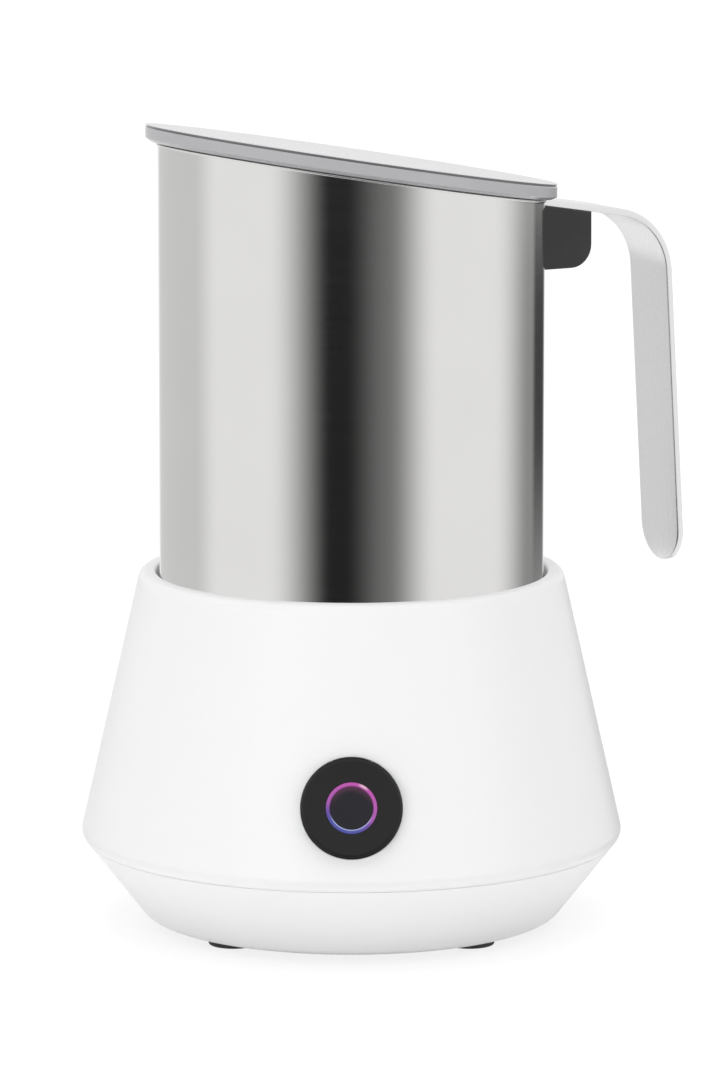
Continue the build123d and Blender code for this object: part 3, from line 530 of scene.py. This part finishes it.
def button_black():
    """Matt black, with a glossier, slightly blue disc inside the light ring, on which the ring's pink light
    is painted as a glow.
    """
    made = Recipe("button_black", (0.012, 0.012, 0.012), 0.36, Specular_IOR_Level=0.27)
    up, radius = made.on_button()[1:]
    # Painted glow: the ring's pink is emitted by the disc next to the ring and over its upper half
    painted_ring_glow = made.product(made.fade(radius, PAINTED_GLOW_START, LIGHT_INNER), made.fade(up, 0.0, LIGHT_INNER))
    made.set(Emission_Color=made.ramp(painted_ring_glow, (0.0, (0.0, 0.0, 0.0)), (1.0, (0.066, 0.014, 0.044))))
    made.set(Emission_Strength=made.fade(radius, PAINTED_GLOW_END, PAINTED_GLOW_FULL))
    outside = made.fade(radius, LIGHT_INNER, LIGHT_OUTER)
    made.set(Base_Color=made.ramp(outside, (0.0, (0.01, 0.0095, 0.014)), (1.0, (0.011, 0.011, 0.011))))
    disc_roughness = 0.18
    rougher_rim = 0.2
    roughness = made.math("MULTIPLY_ADD", outside, rougher_rim, disc_roughness)
    made.set(Roughness=made.math("ADD", roughness, made.drift(low=-0.04, high=0.04, scale=240)))
    made.grain(depth=0.003 * MM, scale=2600, detail=3)
    return made


def light_colours(made, across, up):
    """Blue below, violet on the left, pink above and on the right."""
    slant = made.math("ADD", made.product(up, SLANT_UP), made.product(across, SLANT_ACROSS))
    share = made.add("MapRange", Value=slant, From_Min=-LIGHT_OUTER, From_Max=LIGHT_OUTER)
    return made.ramp(
        share,
        (0.12, (0.06, 0.065, 0.32)),
        (0.3, (0.14, 0.055, 0.33)),
        (0.44, (0.36, 0.075, 0.38)),
        (0.7, (0.42, 0.075, 0.38)),
        (1.0, (0.5, 0.065, 0.39)),
    )


def light_ring():
    """The lit guide: a painted pale highlight on its inner edge below, a dimmer inner edge above, and one
    painted highlight spot above that shines.
    """
    made = Recipe("light_ring", (0.02, 0.02, 0.03), 0.18, Specular_IOR_Level=0.2)
    made.set(Coat_Weight=0.2, Coat_Roughness=0.08)
    across, up, radius = made.on_button()
    inner = made.fade(radius, INNER_START, INNER_FULL)
    below = made.fade(up, BELOW_START, BELOW_FULL)
    above = made.math("SUBTRACT", 1.0, below)
    # Painted highlights: a pale blue line along the inner edge below, and a pale pink spot above on the right
    painted_highlight_level = 0.75
    dimmest = 0.5
    pale = made.product(inner, below, painted_highlight_level)
    dim = made.product(inner, above, dimmest)
    to_highlight_spot = made.distance(made.math("SUBTRACT", across, HIGHLIGHT_SPOT_ACROSS), made.math("SUBTRACT", up, HIGHLIGHT_SPOT_UP))
    painted_highlight_streak = made.product(made.fade(radius, HIGHLIGHT_STREAK_START, HIGHLIGHT_STREAK_FULL), painted_highlight_level)
    spot = made.product(made.fade(to_highlight_spot, HIGHLIGHT_SPOT_REACH, HIGHLIGHT_SPOT_CORE), painted_highlight_streak)
    glow = made.blend(pale, light_colours(made, across, up), (0.5, 0.6, 0.9))
    glow = made.blend(spot, glow, (0.8, 0.55, 0.58))
    made.set(Emission_Color=glow, Emission_Strength=made.math("SUBTRACT", 1.0, dim))
    return made


def jug_steel():
    """Polished outside, satin inside."""
    made = metal("jug_steel", (0.76, 0.755, 0.745), 0.09, stretch=LATHED, depth=0.0004 * MM, spread=0.01)
    inside = made.fade(made.radius(), JUG_RADIUS - POLISH_START, JUG_RADIUS - POLISH_END)
    rougher = 0.22
    made.set(Roughness=made.math("MULTIPLY_ADD", inside, rougher, made.source("Roughness")))
    return made


def strap_steel():
    brushing = {"stretch": BRUSHED, "turn": -JUG_TURN}
    return metal("strap_steel", (0.84, 0.84, 0.84), 0.3, depth=0.0004 * MM, spread=0.012, **brushing)


def block_black():
    return plastic("block_black", (0.016, 0.016, 0.0165), 0.5, scale=2400, depth=0.008 * MM, spread=0.06)


def lid_grey():
    """Smoked plastic, with painted shade in the groove and on the bevel of its edge."""
    made = plastic("lid_grey", (0.44, 0.44, 0.452), 0.18, scale=350, depth=0.0006 * MM, wear=0.02)
    tint = made.source("Base Color")
    reach, _, up = made.split(made.place(turn=-JUG_TURN))
    height = made.math("MULTIPLY_ADD", reach, RIM_SLOPE, up)
    soft = LID_SHADE_EDGE
    top = LID_TOP - LID_CAP
    bottom = top - LID_GROOVE
    bevel = LID_BOTTOM + LID_FOOT
    # Painted shade: these masks darken the groove under the top edge and the bevel of the foot
    under_top = made.fade(height, top + soft, top - soft)
    over_bottom = made.fade(height, bottom - soft, bottom + soft)
    edge = made.fade(made.radius(), LID_RADIUS - LID_BEVEL - soft, LID_RADIUS - LID_BEVEL)
    groove = made.product(under_top, over_bottom, edge)
    foot = made.product(made.fade(height, bevel + soft, bevel - soft), edge)
    # Painted shade colours: (0.33, 0.33, 0.34) on the foot's bevel, (0.15, 0.15, 0.155) in the groove
    with_painted_foot_shade = made.blend(foot, tint, (0.33, 0.33, 0.34))
    made.set(Base_Color=made.blend(groove, with_painted_foot_shade, (0.15, 0.15, 0.155)))
    return made


def seal_silicone():
    return plastic("seal_silicone", (0.62, 0.62, 0.62), 0.55, scale=900, depth=0.01 * MM, spread=0.03)


RECIPES = (
    white_housing, foot_rubber, gland_rubber, well_dark, carrier_plastic, coil_copper, ferrite, sensor_metal,
    motor_can, screw_steel, rotor_plastic, magnet, board_green, capacitor_yellow, capacitor_black,
    sink_aluminium, terminal_green, lamp_clear, button_black, light_ring, jug_steel, strap_steel, block_black,
    lid_grey, seal_silicone,
)
MATERIALS = {make.__name__: make().material for make in RECIPES}
for node in frame["nodes"].values():
    for holder in node.material_slots:
        holder.material = MATERIALS[holder.material.name.split(".")[0]]


# Mesh helpers

SAME_PLACE = 0.0001 * MM


def rounded(*corners, steps=8):
    """An outline through (x, y) or (x, y, radius) corners, each rounded by an arc of its radius."""
    points = []
    for before, corner, after in zip((corners[-1], *corners), corners, (*corners[1:], corners[0])):
        here = Vector(corner[:2])
        if len(corner) == 2:
            points.append(here)
            continue
        radius = corner[2]
        back = (Vector(before[:2]) - here).normalized()
        onward = (Vector(after[:2]) - here).normalized()
        half = back.angle(onward) / 2
        centre = here + (back + onward).normalized() * radius / math.sin(half)
        start = here + back * radius / math.tan(half) - centre
        end = here + onward * radius / math.tan(half) - centre
        first = math.atan2(start.y, start.x)
        sweep = (math.atan2(end.y, end.x) - first + math.pi) % (2 * math.pi) - math.pi
        for step in range(steps + 1):
            turn = first + sweep * step / steps
            points.append(centre + radius * Vector((math.cos(turn), math.sin(turn))))
    return points


def braced(outline, margin=0.25 * MM):
    """The outline with points added near the ends of its straight runs, so that they shade flat."""
    shortest = 6 * margin
    points = []
    for start, end in zip(outline, outline[1:] + outline[:1]):
        run = end - start
        if run.length < SAME_PLACE:
            continue
        points.append(start)
        if run.length > shortest and max(start.x, end.x) > 0:
            points += [start + run.normalized() * margin, end - run.normalized() * margin]
    return points


def spin(outline, segments, tilt=None):
    """A body of revolution about Z; tilt gives the share of the rim's slope that a height takes."""
    mesh = bmesh.new()
    rings = []
    for radius, height in braced(outline):
        ring = []
        for step in range(segments if radius > 0 else 1):
            turn = 2 * math.pi * step / segments
            across = radius * math.cos(turn)
            drop = RIM_SLOPE * across * tilt(height) if tilt else 0
            ring.append(mesh.verts.new((across, radius * math.sin(turn), height - drop)))
        rings.append(ring)
    for ring, following in zip(rings, rings[1:] + rings[:1]):
        if len(ring) + len(following) > 2:
            for step in range(segments):
                pairs = ((ring, step), (ring, step + 1), (following, step + 1), (following, step))
                corners = dict.fromkeys(circle[index % len(circle)] for circle, index in pairs)
                mesh.faces.new(corners)
    bmesh.ops.recalc_face_normals(mesh, faces=mesh.faces)
    return mesh


def skin(rings):
    """A tube through rings of points with equal counts, closed at both ends."""
    mesh = bmesh.new()
    loops = [[mesh.verts.new(point) for point in ring] for ring in rings]
    for loop, following in zip(loops, loops[1:]):
        for index in range(len(loop)):
            after = (index + 1) % len(loop)
            mesh.faces.new((loop[index], loop[after], following[after], following[index]))
    mesh.faces.new(reversed(loops[0]))
    mesh.faces.new(loops[-1])
    bmesh.ops.recalc_face_normals(mesh, faces=mesh.faces)
    return mesh


def settle(name, mesh):
    """Turns a mesh that is being edited into a finished one."""
    data = bpy.data.meshes.new(name)
    mesh.to_mesh(data)
    mesh.free()
    return data


def smooth(data, crease):
    data.shade_smooth()
    data.set_sharp_from_angle(angle=crease)


def put(name, data):
    """Puts a mesh, lamp or camera into the scene."""
    made = bpy.data.objects.new(name, data)
    bpy.context.scene.collection.objects.link(made)
    return made


def piece(name, mesh, body, slot, *nodes, place=Matrix(), crease=CREASE):
    """Puts a mesh into the scene as a piece that rides on a body and stands for CAD nodes."""
    data = settle(name, mesh)
    data.transform(place)
    smooth(data, crease)
    data.materials.append(MATERIALS[slot])
    made = put(name, data)
    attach(made, body)
    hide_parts(*nodes)
    return made


# Base


def low_radius(height):
    """Radius of the base below its widest edge."""
    return WIDE_RADIUS - LOWER_SLOPE * (WIDE_Z - height)


def base_shell():
    """The upper housing without the button's bore, with a lip and a fine groove at the seam."""
    lip = SEAM_Z - SEAM_LIP
    groove_low = SEAM_Z - SEAM_LINE
    groove_high = SEAM_Z + SEAM_LINE / 2
    lip_width = 3 * SEAM_LINE
    seam_radius = low_radius(SEAM_Z)
    inset = WALL * math.hypot(1, UPPER_SLOPE)
    return spin(rounded(
        (low_radius(lip), lip),
        (low_radius(groove_low), groove_low),
        (seam_radius - SEAM_LINE, SEAM_Z),
        (low_radius(groove_high), groove_high),
        (WIDE_RADIUS, WIDE_Z, WIDE_ROUND),
        (TOP_RADIUS, BASE_TOP, RIM_ROUND),
        (WELL_RADIUS, BASE_TOP, MOUTH_ROUND),
        (WELL_RADIUS, CUP_TOP),
        (TOP_RADIUS + UPPER_SLOPE * (BASE_TOP - CUP_TOP) - inset, CUP_TOP),
        (WIDE_RADIUS - inset, WIDE_Z),
        (seam_radius - inset, SEAM_Z),
        (seam_radius - lip_width, SEAM_Z),
        (low_radius(lip) - lip_width, lip),
    ), segments=288)


def slope_depth(across, up, reach=4 * MM, halvings=40):
    """How far the slope lies out along the button's axis, at a place in the button's plane."""
    start = BUTTON_CENTRE + RIGHT * across + BUTTON_UP * up
    low = -reach
    high = reach
    for _ in range(halvings):
        middle = (low + high) / 2
        point = start + OUTWARD * middle
        if math.hypot(point.x, point.y) < WIDE_RADIUS - UPPER_SLOPE * (point.z - WIDE_Z):
            low = middle
        else:
            high = middle
    return low


def bore_cutter(segments=160, steps=8):
    """The button's bore as a solid, with a flare that rounds its edge along the slope."""
    rings = []
    for step in range(-1, steps + 2):
        turn = BORE_START + (math.pi / 2 - BORE_START) * min(max(step / steps, 0), 1)
        radius = BUTTON_BORE + BORE_ROUND * (1 - math.sin(turn))
        ring = []
        for index in range(segments):
            angle = 2 * math.pi * index / segments
            across = radius * math.cos(angle)
            up = radius * math.sin(angle)
            if step < 0:
                depth = BUTTON_DEPTH
            elif step > steps:
                depth = -BUTTON_DEPTH
            else:
                depth = slope_depth(across, up) - BORE_ROUND * (1 - math.cos(turn))
            ring.append(BUTTON_CENTRE + RIGHT * across + BUTTON_UP * up + OUTWARD * depth)
        rings.append(ring)
    return skin(rings)


def cut_bore(shell):
    """Cuts the button's bore through the shell."""
    cutter = put("cutter", settle("cutter", bore_cutter()))
    cut = shell.modifiers.new("bore", "BOOLEAN")
    cut.operation = "DIFFERENCE"
    cut.solver = "EXACT"
    cut.object = cutter
    bpy.context.view_layer.update()
    result = bpy.data.meshes.new_from_object(shell.evaluated_get(bpy.context.evaluated_depsgraph_get()))
    shell.modifiers.remove(cut)
    shell.data = result
    smooth(shell.data, SHELL_CREASE)
    bpy.data.objects.remove(cutter)


shell = piece("base_shell", base_shell(), "base", "white_housing", "upper_housing", crease=SHELL_CREASE)
cut_bore(shell)
# Polished steel doesn't mirror the shell
shell.visible_glossy = False


# Button


def button_cap():
    """The button with a groove for the light ring."""
    top = BUTTON_PROUD - BUTTON_DISH
    groove_floor = top - LIGHT_DEPTH
    groove_inner = LIGHT_INNER - LIGHT_GAP
    groove_outer = LIGHT_OUTER + LIGHT_GAP
    return spin(rounded(
        (0, -BUTTON_DEPTH),
        (0, top),
        (groove_inner, top, LIGHT_GAP),
        (groove_inner, groove_floor),
        (groove_outer, groove_floor),
        (groove_outer, top, LIGHT_GAP),
        (LIGHT_OUTER + BUTTON_EDGE, top),
        (BUTTON_RADIUS, BUTTON_PROUD, BUTTON_EDGE),
        (BUTTON_RADIUS, -BUTTON_DEPTH),
    ), segments=160)


def light_guide():
    """The ring that is lit from below, a little proud of the button's dish."""
    top = BUTTON_PROUD - BUTTON_DISH + LIGHT_GAP
    bottom = BUTTON_PROUD - BUTTON_DISH - LIGHT_DEPTH
    return spin(rounded(
        (LIGHT_INNER, bottom),
        (LIGHT_INNER, top, LIGHT_ROUND),
        (LIGHT_OUTER, top, LIGHT_ROUND),
        (LIGHT_OUTER, bottom),
    ), segments=160)


piece("button_face", button_cap(), "button", "button_black", "button_cap", place=BUTTON)
piece("light_guide", light_guide(), "button", "light_ring", "light_ring", place=BUTTON)


# Jug


def rim_share(height):
    """The wall is level at the bottom and takes the whole slope at the rim."""
    straight = 2 * JUG_CORNER
    low = JUG_BOTTOM + straight
    high = RIM_Z - straight
    return min(max((height - low) / (high - low), 0), 1)


def jug():
    """The drawn cup with a bead along its rim."""
    bore = JUG_RADIUS - JUG_WALL
    inside = JUG_BOTTOM + JUG_WALL
    bead = JUG_RADIUS + BEAD_REACH
    bead_low = RIM_Z - BEAD_HEIGHT
    return spin(rounded(
        (0, JUG_BOTTOM),
        (JUG_RADIUS, JUG_BOTTOM, JUG_CORNER),
        (JUG_RADIUS, bead_low, BEAD_ROUND),
        (bead, bead_low, BEAD_ROUND / 2),
        (bead, RIM_Z, BEAD_ROUND),
        (bore, RIM_Z, BEAD_ROUND),
        (bore, inside, JUG_CORNER - JUG_WALL),
        (0, inside),
    ), segments=256, tilt=rim_share)


# Handle


def arm_height(reach):
    """Height of the strap's upper face along the arm, which follows the rim's slope."""
    return RIM_Z - STRAP_DROP - RIM_SLOPE * reach


def strap_line():
    """The middle of the strap in the handle's plane: up the wall, out along the arm, down the grip."""
    half = STRAP_THICKNESS / 2
    root = STRAP_FACE - half
    arm_drop = half * math.hypot(1, RIM_SLOPE)
    grip = JUG_RADIUS + GRIP_STANDOFF - GRIP_LEAN * GRIP_LENGTH / 2
    inward = half * math.hypot(1, GRIP_LEAN)
    corner = grip + (GRIP_LEAN * arm_drop - inward) / (1 - GRIP_LEAN * RIM_SLOPE)
    low = arm_height(BLOCK_REACH) - BLOCK_DEPTH - FLANGE_TAIL
    return rounded(
        (root, low),
        (root, arm_height(root) - arm_drop, ROOT_BEND - half),
        (corner, arm_height(corner) - arm_drop, GRIP_BEND - half),
        (grip + GRIP_LEAN * GRIP_LENGTH - inward, arm_height(grip) - GRIP_LENGTH),
        steps=24,
    )


def strap_sections(steps=14):
    """Points of the strap's middle line with the half width there, narrowing to a round tip."""
    line = strap_line()
    run = (line[-2] - line[-1]).normalized()
    half = STRAP_WIDTH / 2
    sections = [(point, half) for point in line[:-1]]
    for step in range(steps, 0, -1):
        turn = step / steps * math.pi / 2
        sections.append((line[-1] + run * half * (1 - math.cos(turn)), half * math.sin(turn)))
    return sections


def strap_outline(wide):
    """Section across the strap, with its edges rounded."""
    half = STRAP_THICKNESS / 2
    edge = min(STRAP_EDGE, TIP_EDGE_SHARE * wide)
    return rounded(
        (-wide, -half, edge), (wide, -half, edge), (wide, half, edge), (-wide, half, edge), steps=4
    )


def strap():
    """The bent strap, hollowed where it lies against the jug's wall."""
    sections = strap_sections()
    rings = []
    for index, (point, wide) in enumerate(sections):
        before = sections[max(index - 1, 0)][0]
        after = sections[min(index + 1, len(sections) - 1)][0]
        along = (after - before).normalized()
        side = Vector((along.y, -along.x))
        ring = []
        for across, through in strap_outline(wide):
            reach, height = point + side * through
            if abs(across) < JUG_RADIUS:
                reach = max(reach, math.sqrt(JUG_RADIUS ** 2 - across ** 2))
            ring.append((reach, across, height))
        rings.append(ring)
    return skin(rings)


def block():
    """The heat block under the arm, with its side edges rounded."""
    low = arm_height(BLOCK_REACH) - BLOCK_DEPTH
    arm = STRAP_THICKNESS * math.hypot(1, RIM_SLOPE)
    outline = rounded(
        (STRAP_FACE, low, BLOCK_INNER_ROUND),
        (BLOCK_REACH, low, BLOCK_OUTER_ROUND),
        (BLOCK_REACH, arm_height(BLOCK_REACH) - arm),
        (STRAP_FACE, arm_height(STRAP_FACE) - arm, BLOCK_INNER_ROUND),
    )
    half = STRAP_WIDTH / 2
    mesh = skin([[(reach, side, height) for reach, height in outline] for side in (-half, half)])
    caps = [face for face in mesh.faces if len(face.verts) > 4]
    edges = list({edge for face in caps for edge in face.edges})
    bmesh.ops.bevel(mesh, geom=edges, offset=BLOCK_EDGE, segments=4, profile=0.5, affect="EDGES")
    return mesh


piece("jug", jug(), "jug", "jug_steel", "jug_body", place=TURNED)
handle = piece("strap", strap(), "jug", "strap_steel", "handle_strap", place=TURNED)
# Polished steel doesn't mirror the strap
handle.visible_glossy = False
piece("block", block(), "jug", "block_black", "handle_block", place=TURNED)


# Lid


def lid():
    """The disc with a groove under its top edge and a bevelled foot, and the ring of its plug."""
    groove_top = LID_TOP - LID_CAP
    groove_bottom = groove_top - LID_GROOVE
    groove_radius = LID_RADIUS - LID_GROOVE_DEPTH
    plug_inside = PLUG_RADIUS - PLUG_WALL
    plug_bottom = LID_BOTTOM - PLUG_DEPTH
    return spin(rounded(
        (0, LID_TOP),
        (LID_RADIUS, LID_TOP, LID_TOP_ROUND),
        (LID_RADIUS, groove_top),
        (groove_radius, groove_top),
        (groove_radius, groove_bottom),
        (LID_RADIUS, groove_bottom, LID_GROOVE / 3),
        (LID_RADIUS, LID_BOTTOM + LID_FOOT, LID_LOW_ROUND),
        (LID_RADIUS - LID_BEVEL, LID_BOTTOM, LID_LOW_ROUND),
        (PLUG_RADIUS, LID_BOTTOM),
        (PLUG_RADIUS, plug_bottom, LID_GROOVE),
        (plug_inside, plug_bottom, LID_GROOVE),
        (plug_inside, LID_BOTTOM),
        (0, LID_BOTTOM),
    ), segments=256, tilt=lambda height: 1)


piece("lid", lid(), "lid", "lid_grey", "lid_plate", place=TURNED)


# Whisk spring


def curl_point(turn):
    """The middle of the wire at an angle round the whisk's ring."""
    curl = turn * CURL_COUNT
    reach = CORE_RING + CURL_RADIUS * math.cos(curl)
    return Vector((reach * math.cos(turn), reach * math.sin(turn), SPRING_Z + CURL_RADIUS * math.sin(curl)))


def whisk_wire(steps_per_curl=36, sides=12):
    """One wire wound round the whisk's ring, carried along without twisting."""
    count = CURL_COUNT * steps_per_curl
    turns = [CURL_GAP / 2 + (2 * math.pi - CURL_GAP) * step / count for step in range(count + 1)]
    points = [curl_point(turn) for turn in turns]
    side = Vector((0, 0, 1))
    rings = []
    for index, point in enumerate(points):
        along = (points[min(index + 1, count)] - points[max(index - 1, 0)]).normalized()
        side = (side - along * side.dot(along)).normalized()
        other = along.cross(side)
        ring = []
        for step in range(sides):
            angle = 2 * math.pi * step / sides
            ring.append(point + (side * math.cos(angle) + other * math.sin(angle)) * WIRE_RADIUS)
        rings.append(ring)
    return skin(rings)


piece("whisk_wire", whisk_wire(), "whisk", "screw_steel", "whisk_spring")


# Studio


def flag(made, azimuth, rise, left, right, low, high, darkness):
    """A dark card below the horizon, where only upright walls mirror it.

    Each edge is where it starts and where it is full: left and right in degrees round from the front,
    low and high as the upward part of the direction.
    """
    width = made.product(made.fade(azimuth, *left), made.fade(azimuth, *right))
    depth = made.product(made.fade(rise, *low), made.fade(rise, *high))
    return made.product(width, depth, darkness)


def dark_flags(made):
    """How much light all the flags take away: one in front, three to the rear, one straight behind."""
    x, y, rise = made.split(made.nodes.new("ShaderNodeTexCoord").outputs["Generated"])
    azimuth = made.product(made.math("ARCTAN2", x, made.product(y, -1.0)), 180 / math.pi)
    weaker = made.product(made.fade(azimuth, *FRONT_WEAKENS), FRONT_LOSS)
    shade = made.product(flag(made, azimuth, rise, **FRONT_FLAG), made.math("SUBTRACT", 1.0, weaker))
    for edges in REAR_FLAGS:
        shade = made.math("ADD", shade, flag(made, azimuth, rise, **edges))
    behind = made.fade(made.math("ABSOLUTE", azimuth), *BACK_SIDES)
    depth = made.product(made.fade(rise, *BACK_HIGH), made.fade(rise, *BACK_LOW))
    return made.math("ADD", shade, made.product(behind, depth, BACK_DARKNESS))


def studio_world():
    """White for the camera, an even soft light on matt surfaces, and flags for polished metal to mirror."""
    world = bpy.data.worlds.new("studio")
    bpy.context.scene.world = world
    made = Nodes(world)
    mirrored = made.product(made.math("SUBTRACT", 1.0, dark_flags(made)), MIRROR_LEVEL)
    level = made.math("ADD", AMBIENT, made.product(made.seen(), 1.0 - AMBIENT))
    glossy_ray = made.nodes.new("ShaderNodeLightPath").outputs["Is Glossy Ray"]
    glossy = made.product(made.math("SUBTRACT", mirrored, AMBIENT), glossy_ray)
    made.fill(made.nodes["Background"], Color=(1, 1, 1, 1), Strength=made.math("ADD", level, glossy))


def floor_white():
    """Matt white that also glows for the camera, more so far away, so that it reads white."""
    made = Recipe("floor", (0.94, 0.94, 0.94), 0.7)
    made.mottle(spread=0.01, scale=8)
    limits = {"From_Min": GLOW_NEAR, "From_Max": GLOW_FAR, "To_Min": NEAR_STRENGTH, "To_Max": FAR_STRENGTH}
    glow = made.add("Emission", Strength=made.add("MapRange", Value=made.radius(), **limits))
    share = made.product(made.seen(), GLOW_SHARE)
    mix = made.nodes.new("ShaderNodeMixShader")
    for output, socket in zip((share, made.shader.outputs[0], glow), mix.inputs):
        made.links.new(output, socket)
    made.links.new(mix.outputs[0], made.nodes["Material Output"].inputs["Surface"])
    return made


def floor():
    """A pale table that reads white to the camera and keeps a soft shadow."""
    mesh = bmesh.new()
    bmesh.ops.create_circle(mesh, cap_ends=True, radius=FLOOR_RADIUS, segments=64)
    made = put("floor", settle("floor", mesh))
    made.data.materials.append(floor_white().material)
    made.visible_glossy = False


def softbox(name, place, size, energy):
    """A square lamp that faces the jug and doesn't show in polished metal."""
    lamp = bpy.data.lights.new(name, "AREA")
    lamp.size = size
    lamp.energy = energy
    made = put(name, lamp)
    made.location = place
    made.rotation_euler = (LAMP_TARGET - Vector(place)).to_track_quat("-Z", "Y").to_euler()
    made.visible_glossy = False


def camera():
    data = bpy.data.cameras.new("camera")
    data.lens = CAMERA_LENS
    data.sensor_width = CAMERA_SENSOR
    data.clip_end = CAMERA_REACH
    made = put("camera", data)
    made.location = CAMERA_PLACE
    made.rotation_euler = (CAMERA_PITCH, 0, 0)
    bpy.context.scene.camera = made


bpy.context.scene.view_settings.view_transform = "Standard"
studio_world()
floor()
softbox("left", place=(-0.9, -1.3, 0.2), size=0.8, energy=6.1)
softbox("right", place=(1.1, -0.9, 0.15), size=0.8, energy=2.6)
softbox("top", place=(0.0, 0.0, 1.9), size=1.6, energy=23.5)
camera()
